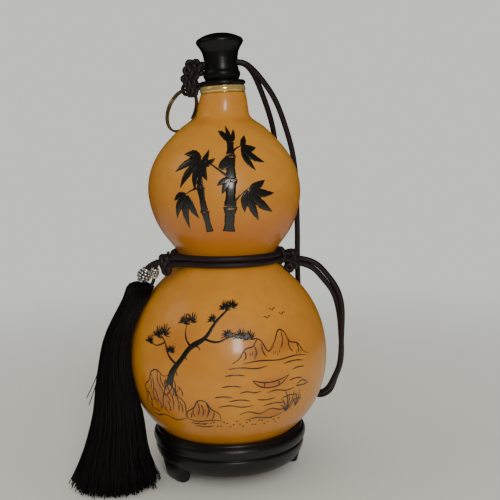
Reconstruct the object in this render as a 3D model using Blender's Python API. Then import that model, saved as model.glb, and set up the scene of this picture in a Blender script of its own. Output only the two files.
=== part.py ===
"""A bottle gourd made into a stoppered flask, standing in a three-footed ring.

The gourd is one hollow natural shell: a wide belly, a waist, a smaller upper
bulb and a short neck. A brass collar and a black mouth bush finish the neck,
a turned black stopper closes it, and a braided cord ties the stopper to the
waist. A split ring hangs at the neck and a tassel with two beads at the waist.

Blender, +Z up, front towards -Y. Lengths below are millimetres; MM turns a
length into metres.
"""
import math

import bmesh
import bpy
import numpy as np

MM = 0.001
GAP = 0.3                    # clearance between pieces that touch
SHARP = math.radians(40.0)   # edges steeper than this stay crisp

# Gourd: outline as radius and height, from the blossom end to the neck
BELLY_R = 60.3
BELLY_Z = 72.0
BULB_R = 45.4
BULB_Z = 171.0
WAIST_R = 29.4
WAIST_Z = 131.0
NECK_R = 13.2
POLE_Z = 11.2                # lowest point of the shell, above the table
PIVOT_Z = 227.0              # the neck is straight above this height
OUTLINE = [
    (0.0, POLE_Z), (22.0, 15.4), (40.7, 27.0), (53.6, 42.5), (BELLY_R, BELLY_Z),
    (55.3, 95.0), (46.3, 110.0), (33.6, 123.6), (WAIST_R, WAIST_Z), (35.3, 142.0),
    (43.6, 158.5), (BULB_R, BULB_Z), (40.0, 190.0), (28.6, 204.0), (20.9, 210.3),
    (16.5, 213.6), (15.2, 217.6), (14.4, 222.5), (NECK_R, PIVOT_Z + 0.3),
]
WALL = 3.5                   # dried shell
SCAR_R = 2.4                 # blossom scar under the belly
SCAR_H = 0.9
GOURD_SIDES = 40
OUTER_RINGS = 38
SHOULDER_Z = 202.0           # rings lie closer together above this height
SHOULDER_DENSITY = 2.2
INNER_RINGS = 15

# Growth: the axis wanders a little sideways, and the neck leans to the left
SPINE = [(0.0, 0.0), (80.0, 0.0), (128.0, 0.9), (165.0, 0.2), (205.0, -0.3), (PIVOT_Z, 0.5)]
PIVOT_X = SPINE[-1][1]
LEAN = math.radians(2.6)
LEAN_FROM_Z = 208.0

# Neck fittings, heights counted from the pivot along the leaning axis
SEAT_R = 12.0                # the neck is cut back here for the collar
SEAT_H = 0.3
MOUTH_H = 4.4
BORE_R = 9.7
BORE_H = -4.0
COLLAR_IN_R = SEAT_R + GAP + 0.1
COLLAR_R = 13.5
FLANGE_R = 13.7
FLANGE_T = 2.9
BUSH_R = 9.0
BUSH_BORE_R = 7.5
BUSH_H = -4.5
STOPPER_NECK_R = 10.0
STOPPER_RIM_R = 13.9
STOPPER_TALL = 27.4          # above the bush
SLOT_H = 17.6               # cord slot through the stopper
SLOT_SIZE = (40.0, 8.4, 4.4)
SLOT_ROUND = 1.2

# Stand: a turned ring on three short feet
RIM_R = 41.5
RIM_Z = 27.2
STAND_R = 46.8
STAND_BORE_R = 31.6
RING_FOOT_Z = 6.2            # underside of the ring
FOOT_AZIMUTHS = (216.0, 12.0, 114.0)
FOOT_OUT_R = 41.4
FOOT_IN_R = 34.2
FOOT_HALF = (12.4, 12.8, 14.6, 16.8)   # half its sweep in degrees, from the sole up

# Cord round the waist and through the stopper
CORD_D = 3.3
STRAND_R = 32.7
STRAND_Z = (129.5, 133.1)
STRAND_APART = 1.85          # each strand's place beside the middle of the pair

# Split ring at the neck
RING_R = 13.1                # to the middle of the wire
RING_WIRE_D = 2.6
RING_CENTRE = np.array([-24.6, 8.4, 218.0])
RING_UP = np.array([0.235, -0.30, 0.925])
RING_ACROSS = np.array([0.559, 0.829, 0.0])

# Tassel at the waist: beads as centre, direction of the bore, diameter and bore
TWIST_D = 3.0                # cord to the large bead
THIN_CORD_D = 2.0            # cord through the small bead
LARGE_BEAD = (np.array([-48.2, -12.0, 121.6]), np.array([-0.45, 0.1, -0.89]), 9.0, 4.0)
SMALL_BEAD = (np.array([-41.3, -17.8, 123.8]), np.array([-0.2, 0.25, -0.95]), 5.6, 2.8)
# Place of its middle, half its depth away from the gourd and half its width
TASSEL_LINE = [
    ((-53.6, -12.4, 117.4), 3.8, 4.0), ((-52.4, -12.0, 114.8), 7.2, 5.6),
    ((-53.4, -12.8, 109.5), 7.0, 6.6), ((-56.6, -14.4, 104.0), 6.6, 8.0),
    ((-61.8, -16.8, 94.5), 6.4, 9.5), ((-65.6, -18.8, 83.0), 7.2, 10.6),
    ((-66.8, -20.6, 70.0), 8.6, 11.8), ((-66.6, -22.2, 55.0), 10.8, 13.4),
    ((-66.0, -23.6, 42.0), 13.0, 15.0), ((-66.6, -24.8, 30.0), 15.6, 17.0),
    ((-67.6, -26.0, 16.0), 18.4, 19.2), ((-68.2, -27.0, 0.8), 21.6, 22.0),
]
TASSEL_ROWS = 16
TASSEL_FOLDS = 8


def clear_scene():
    for obj in list(bpy.data.objects):
        bpy.data.objects.remove(obj)


def linear(hex_colour):
    """sRGB hex to the linear values that a shader takes."""
    parts = [int(hex_colour[i:i + 2], 16) / 255 for i in (0, 2, 4)]
    return [v / 12.92 if v <= 0.04045 else ((v + 0.055) / 1.055) ** 2.4 for v in parts]


def finish(name, hex_colour, roughness, metallic=0.0):
    mat = bpy.data.materials.new(name)
    mat.use_nodes = True
    shader = mat.node_tree.nodes["Principled BSDF"]
    shader.inputs["Base Color"].default_value = (*linear(hex_colour), 1.0)
    shader.inputs["Roughness"].default_value = roughness
    shader.inputs["Metallic"].default_value = metallic
    return mat


def natural_spline(knots, values, at):
    """Values at `at` on the natural cubic spline through (knots, values)."""
    knots = np.asarray(knots, float)
    values = np.asarray(values, float)
    step = np.diff(knots)
    slope = np.diff(values) / step
    size = len(knots)
    system = np.eye(size)
    right = np.zeros(size)
    for i in range(1, size - 1):
        system[i, i - 1:i + 2] = step[i - 1], 2 * (step[i - 1] + step[i]), step[i]
        right[i] = 6 * (slope[i] - slope[i - 1])
    bend = np.linalg.solve(system, right)
    at = np.asarray(at, float)
    k = np.clip(np.searchsorted(knots, at, side="right") - 1, 0, size - 2)
    a = (knots[k + 1] - at) / step[k]
    b = 1 - a
    cubic = (a ** 3 - a) * bend[k] + (b ** 3 - b) * bend[k + 1]
    return a * values[k] + b * values[k + 1] + cubic * step[k] ** 2 / 6


def smooth_path(points, count):
    """`count` points, evenly spaced along a smooth curve through `points`."""
    points = np.asarray(points, float)
    chord = np.r_[0.0, np.cumsum(np.linalg.norm(np.diff(points, axis=0), axis=1))]
    fine = np.linspace(0.0, chord[-1], 40 * len(points))
    curve = np.stack([natural_spline(chord, column, fine) for column in points.T], axis=1)
    run = np.r_[0.0, np.cumsum(np.linalg.norm(np.diff(curve, axis=0), axis=1))]
    even = np.linspace(0.0, run[-1], count)
    return np.stack([np.interp(even, run, column) for column in curve.T], axis=1)


def smoothstep(x):
    x = np.clip(x, 0.0, 1.0)
    return x * x * (3 - 2 * x)


def unit(vector):
    return np.asarray(vector, float) / np.linalg.norm(vector)


def round_angles(count):
    return np.linspace(0, 2 * np.pi, count, endpoint=False)


def skin(name, rings, mat, loop=False):
    """One closed mesh over `rings` (ring, point, xyz in mm).

    A ring joins the next, point by point. With loop the last joins the first;
    without it each end is closed by a fan round its middle.
    """
    rings = np.asarray(rings, float) * MM
    count, sides = rings.shape[:2]
    bm = bmesh.new()
    verts = [[bm.verts.new(p) for p in ring] for ring in rings]
    for i in range(count if loop else count - 1):
        low = verts[i]
        high = verts[(i + 1) % count]
        for j in range(sides):
            k = (j + 1) % sides
            bm.faces.new((low[j], low[k], high[k], high[j]))
    if not loop:
        for ring, verts_of_ring in ((rings[0], verts[0]), (rings[-1], verts[-1])):
            middle = bm.verts.new(ring.mean(axis=0))
            for j in range(sides):
                bm.faces.new((middle, verts_of_ring[j], verts_of_ring[(j + 1) % sides]))
    bmesh.ops.recalc_face_normals(bm, faces=bm.faces)
    mesh = bpy.data.meshes.new(name)
    bm.to_mesh(mesh)
    bm.free()
    mesh.shade_smooth()
    mesh.set_sharp_from_angle(angle=SHARP)
    mesh.materials.append(mat)
    obj = bpy.data.objects.new(name, mesh)
    bpy.context.scene.collection.objects.link(obj)
    return obj


def turned_rings(profile, sides):
    """Rings of a turned shape whose profile is a list of (radius, height)."""
    angle = round_angles(sides)
    profile = np.asarray(profile, float)
    circle = np.stack([np.cos(angle), np.sin(angle)], axis=1)
    rings = np.zeros((len(profile), sides, 3))
    rings[:, :, :2] = profile[:, 0, None, None] * circle
    rings[:, :, 2] = profile[:, 1, None]
    return rings


def torus_rings(centre, across, up, radius, thick, sides, count):
    """Rings of a round wire bent to a circle in the plane of `across` and `up`."""
    normal = np.cross(across, up)
    turn = round_angles(count)
    angle = round_angles(sides)
    out = np.cos(turn)[:, None] * across + np.sin(turn)[:, None] * up
    reach = (radius + thick * np.cos(angle))[None, :, None]
    rise = (thick * np.sin(angle))[None, :, None]
    return np.asarray(centre) + reach * out[:, None, :] + rise * normal


def boolean(obj, others, operation, solver="EXACT"):
    """Applies a Boolean with each of the other objects, which are then removed."""
    for other in others:
        step = obj.modifiers.new(other.name, "BOOLEAN")
        step.operation = operation
        step.solver = solver
        step.object = other
    graph = bpy.context.evaluated_depsgraph_get()
    mesh = bpy.data.meshes.new_from_object(obj.evaluated_get(graph))
    obj.modifiers.clear()
    obj.data = mesh
    for other in others:
        bpy.data.objects.remove(other)
    mesh.shade_smooth()
    mesh.set_sharp_from_angle(angle=SHARP)
    return obj


def moved_out(line, distance):
    """An outline (radius, height), walked upwards, moved out of the gourd by a distance."""
    run = np.gradient(line, axis=0)
    run /= np.linalg.norm(run, axis=1)[:, None]
    return line + distance * np.stack([run[:, 1], -run[:, 0]], axis=1)


def outer_outline():
    """Outer outline with the blossom scar, from the lowest point up."""
    line = smooth_path(OUTLINE, 400)
    run = np.cumsum(np.where(line[:, 1] > SHOULDER_Z, SHOULDER_DENSITY, 1.0))
    even = np.linspace(run[0], run[-1], OUTER_RINGS)
    line = np.stack([np.interp(even, run, column) for column in line.T], axis=1)
    line[:, 1] -= SCAR_H * np.exp(-(line[:, 0] / SCAR_R) ** 2)
    line[0, 0] = 0.0
    return line


def inner_outline():
    """The outer outline moved inwards by the wall, from the neck down."""
    inner = moved_out(smooth_path(OUTLINE, 400), -WALL)
    inner = inner[(inner[:, 0] > 0.0) & (inner[:, 1] < PIVOT_Z + BORE_H - 2.0)]
    return smooth_path(inner[::-1][::8], INNER_RINGS)


def grow(rings):
    """Moves rings about a straight axis onto the gourd's own wandering one."""
    rings = np.array(rings, float)
    height = rings[:, 0, 2]
    spine = np.array(SPINE)
    base = np.minimum(height, PIVOT_Z)
    centre = natural_spline(spine[:, 0], spine[:, 1], base)
    angle = LEAN * smoothstep((height - LEAN_FROM_Z) / (PIVOT_Z - LEAN_FROM_Z))
    above = np.maximum(height - PIVOT_Z, 0.0)
    x = rings[:, :, 0]
    out = rings.copy()
    out[:, :, 0] = centre[:, None] + x * np.cos(angle)[:, None] - (above * np.sin(angle))[:, None]
    out[:, :, 2] = base[:, None] + x * np.sin(angle)[:, None] + (above * np.cos(angle))[:, None]
    return out


def on_neck(obj):
    """Stands a piece, modelled about its own axis, on the leaning neck."""
    obj.location = (PIVOT_X * MM, 0.0, PIVOT_Z * MM)
    obj.rotation_euler = (0.0, -LEAN, 0.0)
    return obj


def make_gourd():
    neck = [
        (SEAT_R, PIVOT_Z + SEAT_H), (SEAT_R, PIVOT_Z + MOUTH_H), (BORE_R, PIVOT_Z + MOUTH_H),
        (BORE_R, PIVOT_Z + BORE_H),
    ]
    profile = np.concatenate([outer_outline()[1:], neck, inner_outline()[:-1]])
    mat = finish("varnished_gourd_shell", "C98B2E", 0.22)
    return skin("gourd", grow(turned_rings(profile, GOURD_SIDES)), mat)


def make_neck_fittings():
    brass = finish("polished_brass", "C9A24E", 0.2, 1.0)
    black = finish("black_lacquered_wood", "17171A", 0.35)
    low = SEAT_H + GAP
    high = MOUTH_H
    collar = [
        (COLLAR_IN_R, low), (COLLAR_R - 0.5, low), (COLLAR_R, low + 0.5), (COLLAR_R, low + 1.5),
        (COLLAR_R - 0.3, low + 1.8), (COLLAR_R, low + 2.1), (COLLAR_R, high - 0.5),
        (COLLAR_R - 0.5, high), (COLLAR_IN_R, high),
    ]
    on_neck(skin("brass_collar", turned_rings(collar, 28), brass, loop=True))

    low = MOUTH_H + GAP
    high = low + FLANGE_T
    bush = [
        (BUSH_R, low), (FLANGE_R - 0.8, low), (FLANGE_R, low + 0.8), (FLANGE_R, high - 0.9),
        (FLANGE_R - 0.9, high), (BUSH_BORE_R, high), (BUSH_BORE_R, BUSH_H), (BUSH_R, BUSH_H),
    ]
    on_neck(skin("mouth_bush", turned_rings(bush, 28), black, loop=True))
    make_stopper(high + GAP, black)


def make_stopper(base, black):
    """Turned stopper: plug, neck with a low bead, then a flared and domed head."""
    plug_r = BUSH_BORE_R - GAP
    plug_end = BUSH_H + 1.0
    neck = STOPPER_NECK_R
    rim = STOPPER_RIM_R
    profile = [
        (plug_r - 1.4, plug_end), (plug_r - 0.6, plug_end + 0.8), (plug_r, base),
        (neck - 0.1, base), (neck, base + 1.2), (neck + 0.6, base + 2.6), (neck + 0.6, base + 4.2),
        (neck, base + 5.4), (neck, base + 9.0), (neck + 0.1, base + 13.0), (neck + 0.7, base + 16.2),
        (rim - 2.0, base + 18.6), (rim - 0.6, base + 20.5), (rim, base + 21.8), (rim - 0.2, base + 23.0),
        (rim - 1.2, base + 24.1), (rim - 3.5, base + 25.5), (rim * 0.45, base + STOPPER_TALL - 0.5),
        (rim * 0.18, base + STOPPER_TALL),
    ]
    stopper = skin("stopper", turned_rings(profile, 24), black)
    length, width, height = SLOT_SIZE
    angle = round_angles(12) + np.pi / 12
    edge_y = np.sign(np.cos(angle)) * (width / 2 - SLOT_ROUND) + SLOT_ROUND * np.cos(angle)
    edge_z = np.sign(np.sin(angle)) * (height / 2 - SLOT_ROUND) + SLOT_ROUND * np.sin(angle)
    ends = [
        np.stack([np.full(12, x), edge_y, edge_z + SLOT_H], axis=1) for x in (-length / 2, length / 2)
    ]
    slot = skin("cord_slot", ends, black)
    return on_neck(boolean(stopper, [slot], "DIFFERENCE"))


def make_stand():
    """Turned ring whose seat follows the gourd, with three feet grown into it."""
    black = finish("black_satin_stand", "141416", 0.32)
    clear = moved_out(smooth_path(OUTLINE, 400), GAP + 0.2)[:150]
    seat = [(r, np.interp(r, clear[:, 0], clear[:, 1])) for r in np.linspace(RIM_R, STAND_BORE_R, 5)]
    outside = [
        (STAND_BORE_R + 0.6, RING_FOOT_Z), (37.4, RING_FOOT_Z), (39.4, RING_FOOT_Z + 0.6),
        (42.2, 8.9), (44.6, 12.4), (45.6, 15.2), (45.6, 17.0), (45.0, 18.2), (45.5, 18.9),
        (46.5, 20.3), (STAND_R, 22.4), (46.5, 24.4), (45.2, 26.0), (44.2, 26.5), (43.6, RIM_Z),
        (42.6, RIM_Z + 0.4),
    ]
    profile = outside + seat + [(STAND_BORE_R, RING_FOOT_Z + 0.6)]
    stand = skin("stand", turned_rings(profile, GOURD_SIDES), black, loop=True)
    feet = [make_foot(i, math.radians(a), black) for i, a in enumerate(FOOT_AZIMUTHS)]
    return boolean(stand, feet, "UNION", "MANIFOLD")


def make_foot(index, azimuth, mat):
    """A short block that narrows downwards, its flat sole on the table."""
    heights = (0.0, 0.9, 4.0, 9.5)
    outer = (FOOT_OUT_R - 1.2, FOOT_OUT_R - 0.4, FOOT_OUT_R, FOOT_OUT_R - 0.6)
    inner = (FOOT_IN_R + 1.0, FOOT_IN_R + 0.5, FOOT_IN_R, FOOT_IN_R)
    rings = []
    for height, out_r, in_r, half in zip(heights, outer, inner, FOOT_HALF):
        sweep = azimuth + np.radians(np.linspace(-half, half, 5))
        front = [(out_r * math.cos(a), out_r * math.sin(a), height) for a in sweep]
        back = [(in_r * math.cos(a), in_r * math.sin(a), height) for a in sweep[::-1]]
        rings.append(front + back)
    return skin(f"foot_{index}", rings, mat)


def make_cord(name, route, diameter, mat, closed=False):
    """A round cord along a smooth curve through the route's points."""
    route = np.asarray(route, float)
    length = np.linalg.norm(np.diff(route, axis=0), axis=1).sum()
    points = route if closed else smooth_path(route, round(length / (2.6 * diameter)) + 3)
    curve = bpy.data.curves.new(name, "CURVE")
    curve.dimensions = "3D"
    curve.bevel_depth = diameter / 2 * MM
    curve.bevel_resolution = 2
    curve.use_fill_caps = not closed
    spline = curve.splines.new("POLY")
    spline.points.add(len(points) - 1)
    for place, point in zip(spline.points, points):
        place.co = (*(point * MM), 1.0)
    spline.use_cyclic_u = closed
    curve.materials.append(mat)
    obj = bpy.data.objects.new(name, curve)
    bpy.context.scene.collection.objects.link(obj)
    return obj


def make_waist_cords(mat):
    """Two turns of the cord, lying in the waist."""
    angle = round_angles(40)
    for name, height in zip(("waist_cord_lower", "waist_cord_upper"), STRAND_Z):
        shift = natural_spline(*zip(*SPINE), height)
        x = shift + STRAND_R * np.cos(angle)
        y = STRAND_R * np.sin(angle)
        make_cord(name, np.stack([x, y, np.full(40, height)], axis=1), CORD_D, mat, closed=True)


def make_slings(mat):
    """The doubled cord from the stopper, behind the gourd and back up to the waist.

    Each strand leaves the slot in the stopper, drops behind the upper bulb,
    turns below the belly and comes up at the right in a hanging loop. The
    loop is a middle line with half the way from the second strand to the first.
    """
    front = -STRAND_APART
    back = STRAND_APART
    first = [
        (-10.8, front, 244.1), (-4.0, front, 244.45), (3.0, front, 244.8), (9.6, front, 245.15),
        (13.2, -1.6, 244.5), (17.0, 0.2, 242.2), (23.6, 4.0, 235.2), (31.2, 9.0, 224.0),
        (37.2, 13.5, 208.9), (41.6, 16.5, 193.3), (43.7, 18.5, 178.5), (44.4, 20.0, 160.0),
        (44.6, 20.8, 140.0), (44.5, 21.8, 120.0), (45.2, 27.0, 106.0), (46.4, 36.5, 92.0),
        (47.2, 43.0, 76.0), (48.2, 44.5, 60.0), (50.6, 41.4, 48.0), (54.4, 35.4, 40.2),
    ]
    second = [
        (-10.8, back, 244.1), (-4.0, back, 244.45), (3.0, back, 244.8), (9.6, back, 245.15),
        (12.6, 2.4, 244.7), (16.9, 4.6, 241.4), (21.6, 8.4, 232.8), (26.3, 14.0, 220.5), (30.0, 21.0, 208.0),
        (31.8, 29.0, 195.0), (31.4, 36.5, 180.0), (28.4, 41.5, 164.0), (25.0, 43.5, 148.0),
        (23.5, 43.6, 132.0), (25.0, 46.5, 116.0), (30.0, 51.5, 100.0), (35.6, 54.5, 84.0),
        (39.6, 54.6, 68.0), (43.0, 52.0, 53.0), (47.4, 46.6, 41.0), (52.6, 39.0, 34.4),
    ]
    loop = [
        ((58.6, 29.0, 34.8), (-0.6, -1.2, 1.6)), ((63.7, 24.5, 38.7), (-1.1, -1.4, 1.1)),
        ((67.1, 21.5, 46.5), (-0.8, -1.7, 0.4)), ((70.3, 19.0, 55.8), (-0.6, -1.8, 0.0)),
        ((71.4, 17.0, 67.6), (-0.4, -1.9, 0.0)), ((71.2, 15.0, 76.2), (0.0, -2.0, 0.0)),
        ((71.0, 13.5, 83.2), (0.4, -1.9, 0.0)), ((69.6, 11.0, 98.0), (1.4, -1.4, 0.7)),
        ((65.7, 8.0, 108.5), (1.5, -0.8, 1.2)), ((59.9, 6.0, 116.5), (1.4, -0.2, 1.6)),
        ((53.6, 4.0, 123.0), (1.0, 0.0, 1.8)), ((46.7, 3.0, 125.9), (0.0, 0.0, 1.85)),
    ]
    middle, spread = np.array(loop).transpose(1, 0, 2)
    make_cord("sling_strand_1", np.concatenate([first, middle + spread]), CORD_D, mat)
    make_cord("sling_strand_2", np.concatenate([second, middle - spread]), CORD_D, mat)


def knot_rings(centre, half, wraps, twist, relief, rows=11, sides=20):
    """A ball of wound cord: an ellipsoid with slanting rounded ribs."""
    polar = np.linspace(0.12, math.pi - 0.12, rows)[:, None]
    angle = round_angles(sides)[None, :]
    rib = 1 - relief + relief * np.abs(np.cos(wraps * (angle + twist * polar) / 2))
    rib = 1 - (1 - rib) * np.sin(polar) ** 0.5
    x = centre[0] + half[0] * rib * np.sin(polar) * np.cos(angle)
    y = centre[1] + half[1] * rib * np.sin(polar) * np.sin(angle)
    z = centre[2] - half[2] * rib * np.cos(polar)
    return np.stack([x, y, z], axis=2)


def link(name, centre, along, radius, thick, mat):
    """A closed link of cord round an axis `along` through its centre."""
    along = unit(along)
    side = unit(np.cross(along, (0.0, 0.0, 1.0)))
    return skin(name, torus_rings(centre, side, np.cross(along, side), radius, thick, 7, 13), mat, loop=True)


def ring_axes():
    """The split ring's own two axes: level across, and up along its plane."""
    up = unit(RING_UP)
    return unit(RING_ACROSS - RING_ACROSS @ up * up), up


def make_split_ring():
    brass = finish("aged_brass_wire", "8A7444", 0.32, 1.0)
    across, up = ring_axes()
    rings = torus_rings(RING_CENTRE, across, up, RING_R, RING_WIRE_D / 2, 8, 36)
    return skin("split_ring", rings, brass, loop=True)


def make_neck_knot(mat):
    """Ornamental knot left of the stopper: a core, side lobes and a link for the ring."""
    across, up = ring_axes()
    top = RING_CENTRE + RING_R * up
    body = skin("neck_knot", knot_rings((-16.9, 0.0, 240.6), (4.8, 4.4, 6.6), 6, 1.2, 0.12), mat)
    lobes = [
        skin("bar", knot_rings((-13.4, 0.0, 241.4), (2.3, 3.2, 4.0), 4, 0.6, 0.1, 8, 14), mat),
        link("lobe_top", (-16.2, 0.4, 243.9), (0.1, 1.0, 0.1), 2.4, 1.3, mat),
        link("lobe_corner", (-18.7, 0.0, 244.3), (-0.1, 1.0, 0.0), 1.8, 1.2, mat),
        link("lobe_side", (-18.8, -0.2, 240.8), (0.1, 1.0, 0.0), 2.4, 1.3, mat),
        link("lobe_low", (-21.5, 0.2, 236.3), (0.2, 1.0, 0.0), 1.9, 1.1, mat),
        skin("tail", knot_rings((-17.9, 0.2, 230.2), (3.8, 3.2, 6.6), 4, 1.0, 0.1, 9, 16), mat),
        link("ring_link", top, across, 2.8, 1.1, mat),
    ]
    return boolean(body, lobes, "UNION")


def make_waist_knots(mat):
    skin("waist_knot_right", knot_rings((40.4, 0.6, 128.2), (4.9, 5.0, 7.4), 6, 1.4, 0.14), mat)
    skin("waist_knot_left", knot_rings((-35.2, -18.7, 129.5), (4.5, 4.8, 5.9), 6, -1.2, 0.14), mat)


def make_bead(name, bead, mat):
    """A round bead with a bore along the cord."""
    centre, along, diameter, bore = bead
    cut = math.asin(bore / diameter)
    polar = np.linspace(cut, math.pi - cut, 9)
    profile = [(diameter / 2 * math.sin(t), -diameter / 2 * math.cos(t)) for t in polar]
    inside = diameter / 4 * math.cos(cut)
    profile += [(bore / 2 + 0.05, inside), (bore / 2 + 0.05, -inside)]
    along = unit(along)
    side = unit(np.cross(along, (0.0, 1.0, 0.0)))
    frame = np.stack([side, np.cross(along, side), along])
    return skin(name, centre + turned_rings(profile, 18) @ frame, mat, loop=True)


def make_tassel(mat):
    """Silk threads folded over and bound: a fluted skirt that lies over the belly's shoulder."""
    stations = np.array([(*place, deep, wide) for place, deep, wide in TASSEL_LINE])
    rows = np.concatenate([stations[:1], smooth_path(stations[1:], TASSEL_ROWS)])
    path, deep, wide = rows[:, :3], rows[:, 3:4], rows[:, 4:5]
    out = path * (1.0, 1.0, 0.0)
    out /= np.linalg.norm(out, axis=1)[:, None]
    side = np.cross(out, (0.0, 0.0, 1.0))
    angle = round_angles(4 * TASSEL_FOLDS)
    fold = 0.95 + 0.05 * np.cos(TASSEL_FOLDS * angle)
    across = (wide * np.cos(angle) * fold)[:, :, None] * side[:, None, :]
    reach = (deep * np.sin(angle) * fold)[:, :, None] * out[:, None, :]
    return skin("tassel", path[:, None, :] + across + reach, mat)


def make_tassel_hardware(silver, mat):
    """The tassel's two hanging cords, each with its bead, from the left waist knot."""
    large, down, diameter, _ = LARGE_BEAD
    reach = (diameter / 2 - 0.8) * unit(down)
    first = [(-40.8, -17.4, 130.4), (-43.6, -14.8, 128.4), large - reach, large, large + reach]
    small, down, diameter, _ = SMALL_BEAD
    reach = (diameter / 2 + 0.2) * unit(down)
    second = [(-40.9, -18.6, 128.2), small - reach, small, small + reach, (-42.6, -15.8, 118.6)]
    second.append((-44.0, -14.4, 115.0))
    make_cord("tassel_cord_1", first, TWIST_D, mat)
    make_cord("tassel_cord_2", second, THIN_CORD_D, mat)
    make_bead("large_bead", LARGE_BEAD, silver)
    make_bead("small_bead", SMALL_BEAD, silver)


def main():
    clear_scene()
    cord = finish("braided_cord", "2A1B1E", 0.6)
    silk = finish("silk_thread", "1B1517", 0.45)
    silver = finish("silver_filigree", "C9C9C6", 0.25, 1.0)
    make_gourd()
    make_neck_fittings()
    make_stand()
    make_waist_cords(cord)
    make_slings(cord)
    make_split_ring()
    make_neck_knot(cord)
    make_waist_knots(cord)
    make_tassel(silk)
    make_tassel_hardware(silver, cord)


main()
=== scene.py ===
import math

import bpy
import numpy as np
from mathutils import Matrix


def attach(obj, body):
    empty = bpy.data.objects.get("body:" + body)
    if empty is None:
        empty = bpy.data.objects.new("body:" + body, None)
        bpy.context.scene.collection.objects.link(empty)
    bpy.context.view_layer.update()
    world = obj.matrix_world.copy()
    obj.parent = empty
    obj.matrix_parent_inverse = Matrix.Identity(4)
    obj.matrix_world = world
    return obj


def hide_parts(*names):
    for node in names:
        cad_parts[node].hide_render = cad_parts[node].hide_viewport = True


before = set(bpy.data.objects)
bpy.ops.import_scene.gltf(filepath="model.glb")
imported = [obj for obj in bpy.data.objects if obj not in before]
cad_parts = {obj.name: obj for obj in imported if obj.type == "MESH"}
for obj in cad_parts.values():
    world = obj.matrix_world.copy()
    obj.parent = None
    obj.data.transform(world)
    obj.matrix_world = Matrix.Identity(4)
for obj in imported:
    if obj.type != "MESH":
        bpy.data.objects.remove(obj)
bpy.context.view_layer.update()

# Camera: half a metre in front, level with the upper bulb, tipped down a little
# and turned by the photograph's slight roll. Its angle of view is a phone's.
camera = bpy.data.objects.new("camera", bpy.data.cameras.new("camera"))
camera.data.sensor_width = 36.0
camera.data.lens = 60.4
CAMERA_TIP = math.radians(90 - 7.37)
CAMERA_ROLL = math.radians(-1.1)
aim = Matrix.Rotation(CAMERA_TIP, 4, "X") @ Matrix.Rotation(CAMERA_ROLL, 4, "Z")
camera.rotation_euler = aim.to_euler()
camera.location = (0.01467, -0.50316, 0.1989)
bpy.context.scene.collection.objects.link(camera)
bpy.context.scene.camera = camera


# Sling: one braided cord, doubled. It is threaded through the stopper, drops
# behind the upper bulb and comes up at the right in a loop to the waist knot,
# so the stopper can't be lost. Lengths are millimetres; MM makes them metres.
MM = 0.001
TURN = 2 * math.pi
CORD_D = 3.3
APART = 1.85                 # each strand's place beside the middle of the pair
YARNS = 8                    # yarns wound each way round the core
BRAID_PITCH = 11.5           # along the cord for one turn of a yarn
BRAID_RELIEF = 0.26
BRAID_STEP = 0.36            # between two rings of points along the cord
SPLINE_STEPS = 40            # fine steps between two given points of a curve
STRAND_1 = [
    (-10.8, -APART, 244.1), (-4.0, -APART, 244.45), (3.0, -APART, 244.8), (9.6, -APART, 245.15),
    (13.2, -1.6, 244.5), (17.0, 0.2, 242.2), (23.6, 4.0, 235.2), (31.2, 9.0, 224.0),
    (37.2, 13.5, 208.9), (41.6, 16.5, 193.3), (43.7, 18.5, 178.5), (44.4, 20.0, 160.0),
    (44.6, 20.8, 140.0), (44.5, 21.8, 120.0), (45.2, 27.0, 106.0), (46.4, 36.5, 92.0),
    (47.2, 43.0, 76.0), (48.2, 44.5, 60.0), (50.6, 41.4, 48.0), (54.4, 35.4, 40.2),
]
STRAND_2 = [
    (-10.8, APART, 244.1), (-4.0, APART, 244.45), (3.0, APART, 244.8), (9.6, APART, 245.15),
    (12.6, 2.4, 244.7), (16.9, 4.6, 241.4), (21.6, 8.4, 232.8), (26.3, 14.0, 220.5), (30.0, 21.0, 208.0),
    (31.8, 29.0, 195.0), (31.4, 36.5, 180.0), (28.4, 41.5, 164.0), (25.0, 43.5, 148.0),
    (23.5, 43.6, 132.0), (25.0, 46.5, 116.0), (30.0, 51.5, 100.0), (35.6, 54.5, 84.0),
    (39.6, 54.6, 68.0), (43.0, 52.0, 53.0), (47.4, 46.6, 41.0), (52.6, 39.0, 34.4),
]
# The loop's middle, with half the way from the second strand to the first. The
# strands lie against each other there, a little closer than those figures.
TOUCHING = 0.84
LOOP = [
    ((58.6, 29.0, 34.8), (-0.6, -1.2, 1.6)), ((63.7, 24.5, 38.7), (-1.1, -1.4, 1.1)),
    ((67.1, 21.5, 46.5), (-0.8, -1.7, 0.4)), ((70.3, 19.0, 55.8), (-0.6, -1.8, 0.0)),
    ((71.4, 17.0, 67.6), (-0.4, -1.9, 0.0)), ((71.2, 15.0, 76.2), (0.0, -2.0, 0.0)),
    ((71.0, 13.5, 83.2), (0.4, -1.9, 0.0)), ((69.6, 11.0, 98.0), (1.4, -1.4, 0.7)),
    ((65.7, 8.0, 108.5), (1.5, -0.8, 1.2)), ((59.9, 6.0, 116.5), (1.4, -0.2, 1.6)),
    ((53.6, 4.0, 123.0), (1.0, 0.0, 1.8)), ((46.7, 3.0, 125.9), (0.0, 0.0, 1.85)),
    ((42.2, 1.4, 126.9), (0.0, 0.0, 1.7)),
]


def unit(vectors):
    """Vectors divided by their own length."""
    vectors = np.asarray(vectors, float)
    return vectors / np.linalg.norm(vectors, axis=-1, keepdims=True)


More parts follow.
